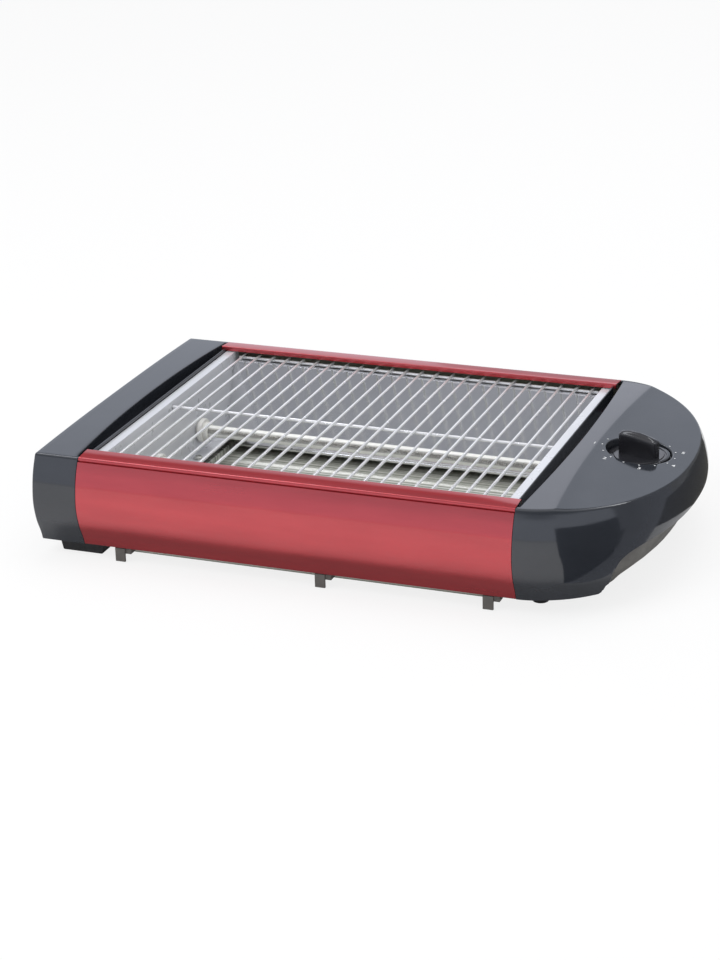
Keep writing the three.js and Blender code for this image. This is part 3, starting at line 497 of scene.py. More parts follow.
def panel_outline():
    """Section of the front panel: the flange, the groove below its fold, the face and the bottom hem."""
    inner = -HALF_DEPTH + FLANGE_WIDTH
    crest = TOP + FLANGE_RISE
    groove_start = TOP - GROOVE_TOP
    groove_end = groove_start - GROOVE_HEIGHT
    groove_in = -HALF_DEPTH + GROOVE_DEPTH
    flange_start, flange_end = (inner, crest, 0), (-HALF_DEPTH, TOP, 0)
    line = [(inner, crest - FLANGE_HEM, 0)]
    line += rounded(line[0], flange_start, flange_end, SHEET)
    line += rounded(flange_start, flange_end, (-HALF_DEPTH, groove_start, 0), FOLD_RADIUS, 5)
    line += [(-HALF_DEPTH - GROOVE_DEPTH / 4, groove_start, 0),
             (groove_in, groove_start - GROOVE_HEIGHT / 4, 0), (groove_in, groove_end + GROOVE_HEIGHT / 4, 0)]
    start = (TOP - groove_end) / PANEL_HEIGHT
    for t in steps(FACE_STEPS):
        share = start + (1 - start) * t
        line.append((-HALF_DEPTH - panel_offset(share), TOP - PANEL_HEIGHT * share, 0))
    bottom = line.pop()
    hem_end = (bottom[0] + BOTTOM_HEM, STAND, 0)
    line += rounded(line[-1], bottom, hem_end, HEM_RADIUS / 2, 3)
    line.append(hem_end)
    return line


def thick_outline(line):
    """The outer line, then the same line moved inward by the sheet."""
    moved = []
    for i, point in enumerate(line):
        before, after = line[max(i - 1, 0)], line[min(i + 1, len(line) - 1)]
        run = (Vector(after) - Vector(before)).normalized()
        moved.append((point[0] - run.y * SHEET, point[1] + run.x * SHEET, 0))
    return line + moved[::-1]


def make_panel(name, side):
    outline = thick_outline(panel_outline())
    soup = Soup()
    rows = [[(x, side * y, z) for y, z, _ in outline] for x in (SEAM_GAP, RIGHT_SEAM - SEAM_GAP)]
    soup.grid(rows, loop_cols=True)
    count = len(outline)
    for row in rows:
        soup.add(row, [(k, k + 1, count - 2 - k, count - 1 - k) for k in range(count // 2 - 1)])
    shell = soup.piece(name + "_shell", RED, slot="red_panel", angle=25, stands_for=(name,))
    shell.data.materials.append(LINING)
    # The faces on the sheet's inner side have no lacquer
    for face in shell.data.polygons:
        face.material_index = int(count // 2 <= face.index < count - 1)


# Left end cap
CAP_SIDE_STEPS = 36
CAP_TOP_STEPS = 40
CAP_LENGTH_STEPS = 10
TROUGH_STEPS = 40
CAP_EDGE = 1.3
SEAM_EDGE = 0.5
RETURN_DEPTH = 6
SLOT_CUT = 0.02


def cap_section():
    """Half section of the left cap, from the bottom edge over the rounded top edge to the middle."""
    side = [(-HALF_DEPTH - panel_offset(1 - t), STAND + PANEL_HEIGHT * t, 0) for t in steps(CAP_SIDE_STEPS)]
    side = [p for p in side if p[1] < TOP - CAP_EDGE]
    places = [-SLOT_END, -SLOT_END + SLOT_CUT] + [-SLOT_END * (1 - t) for t in steps(CAP_TOP_STEPS)[1:]]
    top = [(y, TOP + crown_at(y), 0) for y in places]
    corner = (-HALF_DEPTH, TOP, 0)
    return side + rounded(side[-1], corner, top[0], CAP_EDGE, 6) + top


def left_cap_column(y, z, inward, in_slot):
    """Points of the left cap's skin from its end face to the seam, at a place of the section."""
    points = []
    for t in steps(5):
        turn = t * pi / 2
        inset = CAP_EDGE * (1 - sin(turn))
        points.append((-CAP_WIDTH + CAP_EDGE * (1 - cos(turn)), y + inward[0] * inset, z + inward[1] * inset))
    end = -slot_reach(y) if in_slot else 0
    start_x = points[-1][0]
    points += [(start_x + (end - SEAM_EDGE - start_x) * t, y, z) for t in steps(CAP_LENGTH_STEPS)[1:]]
    for t in steps(4)[1:]:
        turn = t * pi / 2
        drop = SEAM_EDGE * (1 - cos(turn))
        points.append((end - SEAM_EDGE * (1 - sin(turn)), y + inward[0] * drop, z + inward[1] * drop))
    if in_slot:
        floor = TOP - SLOT_DEPTH
        points += [(end, y, points[-1][2] + (floor - points[-1][2]) * t) for t in steps(5)[1:]]
    else:
        y, z = y + inward[0] * WALL, z + inward[1] * WALL
        # As many points as the slot's wall has
        points += [(end, y, z)] * 3 + [(end - RETURN_DEPTH, y, z)] * 2
    return points


def make_left_cap():
    half = cap_section()
    section = half + [(-y, z, 0) for y, z, _ in half[-2::-1]]
    columns = []
    for i, (y, z, _) in enumerate(section):
        before, after = section[max(i - 1, 0)], section[min(i + 1, len(section) - 1)]
        run = Vector((after[0] - before[0], after[1] - before[1])).normalized()
        in_slot = z > TOP - CAP_EDGE and abs(y) < SLOT_END - SLOT_CUT / 2
        columns.append(left_cap_column(y, z, (run.y, -run.x), in_slot))
    soup = Soup()
    soup.grid(columns)
    soup.cap([column[0] for column in columns])
    add_trough(soup, 0, -1)
    soup.piece("left_end_cap_shell", BLACK, slot="black_shell", stands_for=("left_end_cap",))


def add_trough(soup, seam, side):
    """Floor of a cooling slot with the lip beside the steel chamber."""
    lip_end = HALF_DEPTH - FLANGE_WIDTH - SEAM_GAP
    floor = TOP - SLOT_DEPTH
    under = floor - SLOT_WALL
    rows = []
    for t in steps(TROUGH_STEPS):
        y = SLOT_END * (2 * t - 1)
        outer = seam + side * (slot_reach(y) + SLOT_WALL / 2)
        rows.append([(outer, y, floor), (seam, y, floor), (seam, y, under), (outer, y, under)])
    soup.bar(rows)
    face, back = seam - side * (LIP_INSET - LIP_WALL), seam - side * LIP_INSET
    crest = TOP - LIP_DROP
    shoulder = crest - LIP_EDGE
    section = [(seam, floor), (face, floor), (face, shoulder), (face - side * LIP_EDGE, crest),
               (back + side * LIP_EDGE, crest), (back, shoulder), (back, under), (seam, under)]
    soup.bar([[(x, y, z) for x, z in section] for y in (-lip_end, lip_end)])


# Right housing
OUTLINE_STEPS = 170
ARCH_STEPS = 26
SLOT_STEPS = 70
TOP_ROWS = 40
WALL_ROWS = 34
EDGE_RADIUS = 1.1
RECESS_EDGE = 0.7
SHAFT_HOLE = 6.6
FOOT_TRIES = 12
FOOT_SNAP = 0.5
SHARE_GAP = 2e-4


def cap_top(x, y):
    """Height of the right housing's top: a level band, a soft crease, and a slope to the tip."""
    crease = CREASE_INSET + CREASE_BOW * min((y / HALF_DEPTH) ** 2, 1)
    past = x - RIGHT_SEAM - crease
    past = (past + hypot(past, CREASE_SOFTNESS)) / 2 / (CAP_REACH - crease)
    fade = 1 - min(max((x - RIGHT_SEAM) / CAP_REACH, 0), 1)
    return TOP + crown_at(y) * fade - TIP_DROP * past ** DROP_POWER


def top_point(x, y):
    return Vector((x, y, cap_top(x, y)))


def end_outline(share):
    """Top edge of the rounded end: place, how far along the tip, and the direction that faces outward."""
    across = sin((share - 0.5) * pi)
    along = max(1 - abs(across) ** SIDE_POWER, 0) ** (1 / END_POWER)
    facing = Vector((END_POWER * along ** (END_POWER - 1) / CAP_REACH,
                     SIDE_POWER * abs(across) ** (SIDE_POWER - 1) * sign(across) / HALF_DEPTH)).normalized()
    return RIGHT_SEAM + CAP_REACH * along, HALF_DEPTH * across, along, facing


def wall_point(share, z, inset=0):
    """Point of the housing's wall at a height: bulged like the panels, and fuller at the tip."""
    x, y, along, facing = end_outline(share)
    down = min(max((cap_top(x, y) - z) / PANEL_HEIGHT, 0), 1)
    blend = along ** TIP_BLEND_POWER
    offset = panel_offset(down) * (1 - blend) + TIP_BULGE * tip_curve(down) * blend - inset
    return Vector((max(x + facing.x * offset, RIGHT_SEAM), y + facing.y * offset, z))


def wall_foot(share):
    """Height of the wall's lower edge: the stand, or the arch over the finger recess."""
    z = STAND
    for _ in range(FOOT_TRIES):
        point = wall_point(share, z)
        if point.x < RIGHT_SEAM + ARCH_START or abs(point.y) >= ARCH_HALF_WIDTH:
            target = STAND
        else:
            share_across = (abs(point.y) / ARCH_HALF_WIDTH) ** ARCH_POWER
            target = STAND + ARCH_RISE * (1 - share_across) ** (1 / ARCH_POWER)
        z = (z + target) / 2
    return target if abs(z - target) < FOOT_SNAP else z


def outline_shares():
    """Where the housing's wall has its columns: even steps, and more of them at the arch's feet."""
    shares = set(steps(OUTLINE_STEPS))
    for t in steps(ARCH_STEPS):
        turn = t * pi / 2
        y = ARCH_HALF_WIDTH * cos(turn) ** (2 / ARCH_POWER)
        share = 0.5 + asin(min(y / HALF_DEPTH, 1)) / pi
        shares.update((share, 1 - share))
    kept = []
    for share in sorted(shares):
        if not kept or share - kept[-1] > SHARE_GAP:
            kept.append(share)
    return kept


def recess_rows(angle):
    """The knob's recess along one direction, from the shaft hole up to the top surface."""
    way = Vector((cos(angle), sin(angle), 0))
    axis = Vector((KNOB_X, 0, 0))
    floor = Vector((0, 0, cap_top(KNOB_X, 0) - RECESS_DEPTH))
    rim = axis + way * (RECESS_RADIUS + RECESS_EDGE)
    rim.z = cap_top(rim.x, rim.y)
    corner = axis + way * RECESS_RADIUS
    corner.z = rim.z
    foot = axis + way * RECESS_RADIUS + floor
    inner = axis + way * (SHAFT_HOLE / 2) + floor
    points = [inner, inner.lerp(foot, 0.5)]
    points += [Vector(p) for p in rounded(inner, foot, corner, RECESS_EDGE, 3)]
    points += [Vector(p) for p in rounded(foot, corner, rim, RECESS_EDGE, 4)]
    return points


def top_rows(start, end, count=TOP_ROWS):
    """Points of the top surface on the way from the recess to the edge."""
    level = [start.lerp(end, t) for t in steps(count)[1:]]
    return [top_point(point.x, point.y) for point in level]


def direction(point):
    """Direction of a point as seen from the knob's axis."""
    return atan2(point.y, point.x - KNOB_X)


def slot_corner(side):
    """Where the top meets the rounded edge at the corner of a slot's end."""
    return top_point(RIGHT_SEAM + SLOT_END_WIDTH + SEAM_EDGE, side * SLOT_END)


def way_over_top(edge, inner, past_corner):
    """Points from the shaft hole over the top to an edge, straight or round the corner of the slot's end."""
    if past_corner:
        corner = slot_corner(sign(edge.y))
        head = recess_rows(direction(corner))
        return head + top_rows(head[-1], corner, TOP_ROWS - 1) + [inner]
    head = recess_rows(direction(edge))
    return head + top_rows(head[-1], inner)


def outline_column(share):
    x, y, _, facing = end_outline(share)
    edge = top_point(x, y)
    inner = edge - Vector((facing.x, facing.y, 0)) * EDGE_RADIUS
    inner.z = cap_top(inner.x, inner.y)
    points = way_over_top(edge, inner, abs(direction(inner)) > abs(direction(slot_corner(1))))
    foot = wall_foot(share)
    first = wall_point(share, edge.z - EDGE_RADIUS)
    points += bend(inner, edge, first, 5)[1:]
    for t in steps(WALL_ROWS)[1:]:
        points.append(wall_point(share, first.z + (foot - first.z) * t))
    lip = wall_point(share, foot, WALL)
    return points + [lip, wall_point(share, foot + RETURN_DEPTH, WALL)]


def seam_column(x, y):
    """A column that ends at the seam or the slot's edge and runs down from there."""
    edge = top_point(x, y)
    inner = edge + Vector((SEAM_EDGE, 0, 0))
    inner.z = cap_top(inner.x, inner.y)
    points = way_over_top(edge, inner, abs(y) >= SLOT_END)
    first = edge - Vector((0, 0, SEAM_EDGE))
    points += bend(inner, edge, first, 5)[1:]
    bottom = Vector((x, y, TOP - SLOT_DEPTH))
    points += [first.lerp(bottom, t) for t in steps(WALL_ROWS)[1:]]
    return points + [bottom, bottom]


def make_right_housing():
    columns = [outline_column(share) for share in outline_shares()]
    first_web = len(columns) - 1
    seam = [(RIGHT_SEAM, HALF_DEPTH - WALL), (RIGHT_SEAM, SLOT_END)]
    seam += [(RIGHT_SEAM + slot_reach(y), y) for y in (SLOT_END * (1 - 2 * t) for t in steps(SLOT_STEPS))]
    seam += [(RIGHT_SEAM, -SLOT_END), (RIGHT_SEAM, WALL - HALF_DEPTH)]
    columns += [seam_column(x, y) for x, y in seam]
    webs = (first_web, len(columns) - 1)
    wall_start = len(columns[0]) - WALL_ROWS - 3
    soup = Soup()
    soup.grid(columns, loop_rows=True, keep=lambda i, j: i not in webs or j < wall_start)
    add_trough(soup, RIGHT_SEAM, 1)
    for side in (-1, 1):
        add_seam_edge(soup, side)
    soup.piece("right_housing_shell", BLACK, slot="black_shell", angle=38, stands_for=("right_housing",))


def add_seam_edge(soup, side):
    """The wall's thickness where it meets a panel."""
    share = 0 if side < 0 else 1
    rows = []
    for t in steps(WALL_ROWS):
        z = STAND + (TOP - EDGE_RADIUS - STAND) * t
        outer = wall_point(share, z)
        inner = outer - Vector((0, side * WALL, 0))
        rows.append([outer, inner, inner + Vector((RETURN_DEPTH, 0, 0))])
    soup.grid(rows)


# Wire grill
WIRE_COUNT = 24
WIRE_PITCH = 10.68
WIRE = 1.8
CROSS_WIRE = 2
WIRE_DROP = 4.6
WELD_SINK = 0.3
WIRE_TIP_INSET = 8
CROSS_INSET = 11.2
CROSS_TIP = 12
MIDDLE_TIP = 8
WIRE_SIDES = 14
WELD_RADIUS = 1.2
WELD_HALF_HEIGHT = 0.675
WELD_TURNS = (0.3, 0.9, 1.57, 2.2, 2.8)
WELD_SIDES = 8


def make_grill():
    z = TOP - WIRE_DROP
    cross_z = z - (WIRE + CROSS_WIRE) / 2 + WELD_SINK
    reach = HALF_DEPTH - WIRE_TIP_INSET
    soup = Soup()
    places = [RIGHT_SEAM / 2 + (i - (WIRE_COUNT - 1) / 2) * WIRE_PITCH for i in range(WIRE_COUNT)]
    for x in places:
        soup.tube((x, -reach, z), (x, reach, z), WIRE / 2, WIRE_SIDES, WIRE / 3)
    for side in (-1, 0, 1):
        y = side * (HALF_DEPTH - CROSS_INSET)
        tip = CROSS_TIP if side else MIDDLE_TIP
        start, end = (tip, y, cross_z), (RIGHT_SEAM - tip, y, cross_z)
        soup.tube(start, end, CROSS_WIRE / 2, WIRE_SIDES, CROSS_WIRE / 3)
        for x in places:
            add_weld(soup, x, y, (z + cross_z) / 2)
    soup.piece("wire_grill_bars", CHROME, slot="chromed_wire", angle=50, stands_for=("wire_grill",))


def add_weld(soup, x, y, z):
    profile = [(WELD_RADIUS * sin(a), -WELD_HALF_HEIGHT * cos(a)) for a in WELD_TURNS]
    soup.lathe(profile, WELD_SIDES, lambda a, b, h: (x + a, y + b, z + h))


# Heaters
TUBE_RADIUS = 4
TUBE_WALL = 1
TUBE_SIDES = 40
COLLAR_RADIUS = 8
STEP_RADIUS = 5.9
NECK_RADIUS = 5.5
COLLAR_THICKNESS = 3.4
STEP_THICKNESS = 3.2
DISH = 0.7
EDGE = 0.6
BORE_PLAY = 0.3
BORE_DEPTH = 6
COIL_PITCH = 1.5
COIL_WIRE = 0.85
COIL_TURN_STEPS = 14
COIL_SIDES = 6


def make_holder(name, side):
    """Ceramic holder: a neck through the end plate, a dished collar and a step with the tube's bore."""
    low, high = extent(name)[0]
    _, y, z = centre(name)
    start, way = (low, 1) if side < 0 else (high, -1)
    length = high - low
    collar = length - STEP_THICKNESS - COLLAR_THICKNESS
    face = collar + COLLAR_THICKNESS
    bore = TUBE_RADIUS + BORE_PLAY
    profile = [(bore, 0), (NECK_RADIUS - EDGE, 0), (NECK_RADIUS, EDGE), (NECK_RADIUS, collar),
               (COLLAR_RADIUS - EDGE, collar), (COLLAR_RADIUS, collar + EDGE), (COLLAR_RADIUS, face - EDGE),
               (COLLAR_RADIUS - EDGE / 3, face - EDGE / 3), (COLLAR_RADIUS - EDGE, face),
               (COLLAR_RADIUS - 2 * EDGE, face), (STEP_RADIUS + EDGE, face - DISH),
               (STEP_RADIUS, face - DISH / 2), (STEP_RADIUS, length - EDGE), (STEP_RADIUS - EDGE, length),
               (bore, length), (bore, length - BORE_DEPTH)]
    soup = Soup()
    soup.lathe(profile, ROUND_SIDES, lambda a, b, h: (start + way * h, y + a, z + b))
    soup.piece(name + "_body", CERAMIC, slot="white_ceramic", angle=30, stands_for=(name,))


def make_tube(name):
    low, high = extent(name)[0]
    _, y, z = centre(name)
    inner = TUBE_RADIUS - TUBE_WALL
    fillet = TUBE_WALL / 4
    profile = [(inner, low), (TUBE_RADIUS - fillet, low), (TUBE_RADIUS, low + fillet),
               (TUBE_RADIUS, high - fillet), (TUBE_RADIUS - fillet, high), (inner, high), (inner, low)]
    soup = Soup()
    rows = [[(x, y + r * cos(t), z + r * sin(t)) for t in turns(TUBE_SIDES)] for r, x in profile]
    soup.grid(rows, loop_cols=True)
    soup.piece(name + "_glass", QUARTZ, slot="milky_quartz", angle=40, stands_for=(name,))


def make_coil(name):
    """Helix of resistance wire inside its tube."""
    (low, high), (front, rear), _ = extent(name)
    _, y, z = centre(name)
    radius = (rear - front - COIL_WIRE) / 2
    rings = []
    for i in range(int((high - low - COIL_WIRE) / COIL_PITCH * COIL_TURN_STEPS) + 1):
        turn = 2 * pi * i / COIL_TURN_STEPS
        place = Vector((low + COIL_WIRE / 2 + COIL_PITCH * i / COIL_TURN_STEPS, y, z))
        out = Vector((0, cos(turn), sin(turn)))
        rings.append([place + out * (radius + COIL_WIRE / 2 * cos(t))
                      + Vector((COIL_WIRE / 2 * sin(t), 0, 0)) for t in turns(COIL_SIDES)])
    soup = Soup()
    soup.bar(rings)
    soup.piece(name + "_wire", ALLOY, slot="resistance_alloy", angle=60, stands_for=(name,))


# Crumb tray
TRAY_SHEET = 0.6
TRAY_FLANGE = 1.8
RIB_COUNT = 11
RIB_HEIGHT = 0.8
RIB_WIDTH = 5
RIB_MARGIN = 9
TRAY_BEND = 1
TRAY_INSET = 2
TRAY_LIP = 0.2
TRAY_STEPS = (40, 150)


def ridge_height(x, y, x_range, y_range):
    """How far the pressed ridges stand up from the tray's floor."""
    front = y_range[0] + RIB_MARGIN
    pitch = (y_range[1] - RIB_MARGIN - front) / (RIB_COUNT - 1)
    nearest = min(max(round((y - front) / pitch), 0), RIB_COUNT - 1)
    away = abs(y - front - nearest * pitch)
    end = min(x - x_range[0] - RIB_MARGIN, x_range[1] - RIB_MARGIN - x) / RIB_MARGIN
    fade = min(max(end * 2, 0), 1)
    ridge = cos(min(away / (RIB_WIDTH / 2), 1) * pi) / 2 + 0.5
    return RIB_HEIGHT * ridge * fade * fade * (3 - 2 * fade)


def tray_lines(edge, places, inset, count):
    """Places across the tray, each with the height of its wall: an edge, the floor, and the edge mirrored."""
    low, high = places
    flat = high - low - 2 * inset
    floor = [(low + inset + flat * t, 0) for t in steps(count)]
    return edge + floor + [(low + high - place, z) for place, z in edge[::-1]]


def make_tray():
    x_range, y_range, (z_low, z_high) = extent("crumb_tray")
    floor = z_low + TRAY_SHEET
    left, front = x_range[0] + TRAY_FLANGE, y_range[0]
    fold = floor + TRAY_BEND
    side_edge = [(x_range[0], z_high), (left, z_high), (left + TRAY_SHEET, z_high - TRAY_SHEET),
                 (left + TRAY_SHEET, fold), (left + 2 * TRAY_SHEET, floor)]
    front_edge = [(front, z_high), (front + TRAY_SHEET, z_high - TRAY_LIP), (front + TRAY_SHEET, fold),
                  (front + 2 * TRAY_SHEET, floor)]
    xs = tray_lines(side_edge, x_range, TRAY_FLANGE + TRAY_INSET, TRAY_STEPS[0])
    ys = tray_lines(front_edge, y_range, TRAY_INSET, TRAY_STEPS[1])
    inner = (left, x_range[1] - TRAY_FLANGE)
    soup = Soup()
    soup.grid([[(x, y, max(floor + ridge_height(x, y, inner, y_range), x_wall, y_wall)) for y, y_wall in ys]
               for x, x_wall in xs])
    thicken(soup.piece("crumb_tray_pan", TRAY, "tray", "bright_sheet", 30, ("crumb_tray",)), TRAY_SHEET)


# Timer knob
KNOB_RADIUS = 18.8
KNOB_SIDES = 96
KNOB_DISC = 2.4
KNOB_DROP = 2
KNOB_EDGE = 0.5
# The ring pressed into the disc, as insets from its edge and depths
KNOB_RING = [(2.2, 0), (2.6, 0.5), (3.4, 0.5), (3.8, 0)]
FIN_SIDES = 64
FIN_LENGTH = 26
FIN_WIDTH = 8.5
FIN_HEIGHT = 14.5
FIN_SHARES = [(-1, 0.83), (-0.7, 0.845), (-0.35, 0.84), (0, 0.82), (0.35, 0.785), (0.7, 0.735), (1, 0.68)]
FIN_DOME = 1.7
FIN_DOME_SHIFT = 0.1
FIN_ANGLE = -16
FIN_EDGE = 0.9
FIN_SINK = 0.5
FIN_LEFT_POWER = 0.28
FIN_POWER = 0.5
fin_curve = smooth_curve(FIN_SHARES)


def fin_outline(inset):
    """Plan of the grip: a squarer end to the left and a rounder one to the right."""
    length, width = FIN_LENGTH / 2 - inset, FIN_WIDTH / 2 - inset
    points = []
    for t in turns(FIN_SIDES):
        power = FIN_LEFT_POWER if cos(t) < 0 else FIN_POWER
        points.append((length * sign(cos(t)) * abs(cos(t)) ** power,
                       width * sign(sin(t)) * abs(sin(t)) ** FIN_POWER))
    return points


def make_knob():
    disc_top = cap_top(KNOB_X, 0) - KNOB_DROP
    disc_foot = disc_top - KNOB_DISC
    fin_foot = disc_top - FIN_SINK
    turn = Matrix.Rotation(radians(FIN_ANGLE), 2)

    def placed(a, b, z):
        moved = turn @ Vector((a, b))
        return (KNOB_X + moved.x, moved.y, z)

    def shoulder(a):
        """Height along the grip at which its rounded upper edge starts."""
        return disc_top + FIN_HEIGHT * fin_curve(2 * a / FIN_LENGTH) - FIN_EDGE

    soup = Soup()
    profile = [(0, disc_foot), (KNOB_RADIUS - KNOB_EDGE, disc_foot), (KNOB_RADIUS, disc_foot + KNOB_EDGE),
               (KNOB_RADIUS, disc_top - KNOB_EDGE), (KNOB_RADIUS - KNOB_EDGE / 3, disc_top - KNOB_EDGE / 3),
               (KNOB_RADIUS - KNOB_EDGE, disc_top)]
    profile += [(KNOB_RADIUS - inset, disc_top - depth) for inset, depth in KNOB_RING] + [(0, disc_top)]
    soup.lathe(profile, KNOB_SIDES, placed)
    rows = []
    for t in steps(6):
        rows.append([placed(a, b, fin_foot + (shoulder(a) - fin_foot) * t) for a, b in fin_outline(0)])
    for t in steps(5)[1:]:
        inset, up = FIN_EDGE * (1 - cos(t * pi / 2)), FIN_EDGE * sin(t * pi / 2)
        rows.append([placed(a, b, shoulder(a) + up) for a, b in fin_outline(inset)])
    for share in (0.8, 0.6, 0.4, 0.2, 0):
        dome = FIN_DOME * (1 - share ** 2)
        rows.append([placed(a, b * share, shoulder(a) + FIN_EDGE
                            + dome * (1 - (2 * a / FIN_LENGTH + FIN_DOME_SHIFT) ** 2))
                     for a, b in fin_outline(FIN_EDGE)])
    soup.grid(rows, loop_cols=True)
    soup.piece("timer_knob_body", KNOB, "knob", "knob_black", 34, ("timer_knob",))


# Generic dial round the knob
DIAL_START = 162
DIAL_STEP = 24.6
DIAL_COUNT = 11
DOT_RING = 22.3
DOT_RADIUS = 0.55
DOT_SIDES = 12
FIGURE_RING = 27
FIGURE_HEIGHT = 4.4
FIGURE_WEIGHT = 0.1
PRINT_LIFT = 0.05


def on_top(x, y):
    return (x, y, cap_top(x, y) + PRINT_LIFT)


def flat_figure(text, x, y):
    """Flat figure of the dial laid on the housing's top, as points and faces."""
    curve = bpy.data.curves.new("figure", "FONT")
    curve.body = text
    curve.size = FIGURE_HEIGHT
    curve.offset = FIGURE_WEIGHT
    curve.align_x, curve.align_y = "CENTER", "CENTER"
    holder = linked("figure", curve)
    flat = bpy.data.meshes.new_from_object(holder)
    points = [on_top(x + v.co.x, y + v.co.y) for v in flat.vertices]
    faces = [tuple(polygon.vertices) for polygon in flat.polygons]
    bpy.data.objects.remove(holder)
    bpy.data.curves.remove(curve)
    bpy.data.meshes.remove(flat)
    return points, faces


def make_dial():
    soup = Soup()
    for i in range(DIAL_COUNT):
        angle = radians(DIAL_START + DIAL_STEP * i)
        x, y = KNOB_X + DOT_RING * cos(angle), DOT_RING * sin(angle)
        soup.cap([on_top(x + DOT_RADIUS * cos(t), y + DOT_RADIUS * sin(t)) for t in turns(DOT_SIDES)])
        if i % 2:
            x, y = KNOB_X + FIGURE_RING * cos(angle), FIGURE_RING * sin(angle)
            soup.add(*flat_figure(str((i + 1) // 2), x, y))
    thicken(soup.piece("timer_dial_print", PRINT, angle=30), 2 * PRINT_LIFT)


# Screws
HEAD_RADIUS = 3
HEAD_HEIGHT = 2
HEAD_DOME = 0.9
HEAD_RINGS = [0.01, 0.3, 0.45, 0.6, 0.9, 1.2, 1.5, 1.7, 1.9, 2.2, 2.5, 2.75, 2.92, HEAD_RADIUS]
SHANK_RADIUS = 1.5
POINT_RADIUS = 0.3
CROSS_HALF = 0.45
CROSS_REACH = 1.7
CROSS_DEPTH = 1.1


def make_screw(name):
    """A pan head with a cross recess on its shank, in the place of the frame's screw."""
    x, y, _ = centre(name)
    z_low, z_high = extent(name)[2]
    faces_up = name.startswith("end_plate")
    head, tip, way = (z_high, z_low, 1) if faces_up else (z_low, z_high, -1)
    rows = []
    for r in HEAD_RINGS:
        row = []
        for t in turns(ROUND_SIDES):
            a, b = r * cos(t), r * sin(t)
            in_cross = min(abs(a), abs(b)) < CROSS_HALF and max(abs(a), abs(b)) < CROSS_REACH
            drop = HEAD_DOME * (r / HEAD_RADIUS) ** 3 + (CROSS_DEPTH if in_cross else 0)
            row.append((x + a, y + b, head - way * drop))
        rows.append(row)
    seat = head - way * HEAD_HEIGHT
    shank = [(HEAD_RADIUS, seat), (SHANK_RADIUS, seat), (SHANK_RADIUS, tip + way * SHANK_RADIUS / 2),
             (POINT_RADIUS, tip)]
    rows += [[(x + r * cos(t), y + r * sin(t), z) for t in turns(ROUND_SIDES)] for r, z in shank]
    soup = Soup()
    soup.grid(rows, loop_cols=True)
    soup.piece(name + "_body", ZINC, slot="zinc_screw", angle=35, stands_for=(name,))


# Round feet
# The foot's lower edge, as insets from its side and heights
FOOT_EDGE = [(1.8, 0), (1, 0.25), (0.4, 1)]
FOOT_RIM = 3


def make_round_foot(name):
    x, y, _ = centre(name)
    (left, right), _, (low, high) = extent(name)
    radius = (right - left) / 2
    profile = [(0, low)] + [(radius - inset, low + rise) for inset, rise in FOOT_EDGE]
    profile += [(radius, high - FOOT_RIM), (radius, high), (0, high)]
    soup = Soup()
    soup.lathe(profile, ROUND_SIDES, lambda a, b, h: (x + a, y + b, h))
    soup.piece(name + "_pad", RUBBER, slot="foot_rubber", angle=40, stands_for=(name,))


# Pieces that keep the frame's form, with their edges rounded
FLAT_ANGLE = 0.6
BEVEL_ANGLE = 35
TERMINALS = [f"{heater}_{end}_tube_terminal" for heater in ("front", "rear") for end in ("left", "right")]
# Nodes, material, slot, width and segments of the rounded edges, and the body where it moves
PLAIN_PARTS = [
    (["left_base_cover", "right_base_cover"], GREY, "grey_base", 0.3, 2),
    (["timer_body"], GREY, "grey_base", 0.5, 2),
    (["tray_tab_1", "tray_tab_2", "tray_tab_3"], GREY, "grey_base", 0.3, 2, "tray"),
    (["left_end_plate", "right_end_plate"], SATIN, "bright_sheet", 0.22, 3),
    (["front_reflector", "rear_reflector"], STEEL, "bright_sheet", 0.22, 3),
    (["tray_rail_left", "tray_rail_right", "timer_plate", "heat_shield"], STEEL, "bright_sheet", 0.2, 2),
    (["left_front_foot", "left_rear_foot"], RUBBER, "foot_rubber", 0.8, 3),
    (["cord_gland"], BLACK, "black_shell", 0.4, 2),
    (["terminal_block"], CERAMIC, "white_ceramic", 0.5, 2),
    (["timer_shaft"], ZINC, "bright_sheet", 0.3, 2, "knob"),
    (TERMINALS, ALLOY, "resistance_alloy", 0.2, 2),
    (["left_link_lead", "front_heater_lead", "rear_heater_lead", "timer_lead"], SLEEVE, "lead_sleeve", 0, 2),
]


def dress(node, material, slot, edge, segments, body="housing"):
    """The frame's form of a node, with rounded edges and its finish."""
    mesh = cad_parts[node].data.copy()
    work = bmesh.new()
    work.from_mesh(mesh)
    bmesh.ops.remove_doubles(work, verts=work.verts, dist=MERGE_WITHIN * MM)
    bmesh.ops.dissolve_limit(work, angle_limit=radians(FLAT_ANGLE), verts=work.verts, edges=work.edges)
    work.to_mesh(mesh)
    work.free()
    if mesh.has_custom_normals:
        mesh.normals_split_custom_set([(0, 0, 0)] * len(mesh.loops))
    shade(mesh)
    piece = new_object(node + "_finish", mesh, material, body)
    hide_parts(node)
    if edge:
        bevel = piece.modifiers.new("edges", "BEVEL")
        bevel.width = edge * MM
        bevel.segments = segments
        bevel.limit_method = "ANGLE"
        bevel.angle_limit = radians(BEVEL_ANGLE)


# Floor, light and camera
FLOOR_SIZE = 40
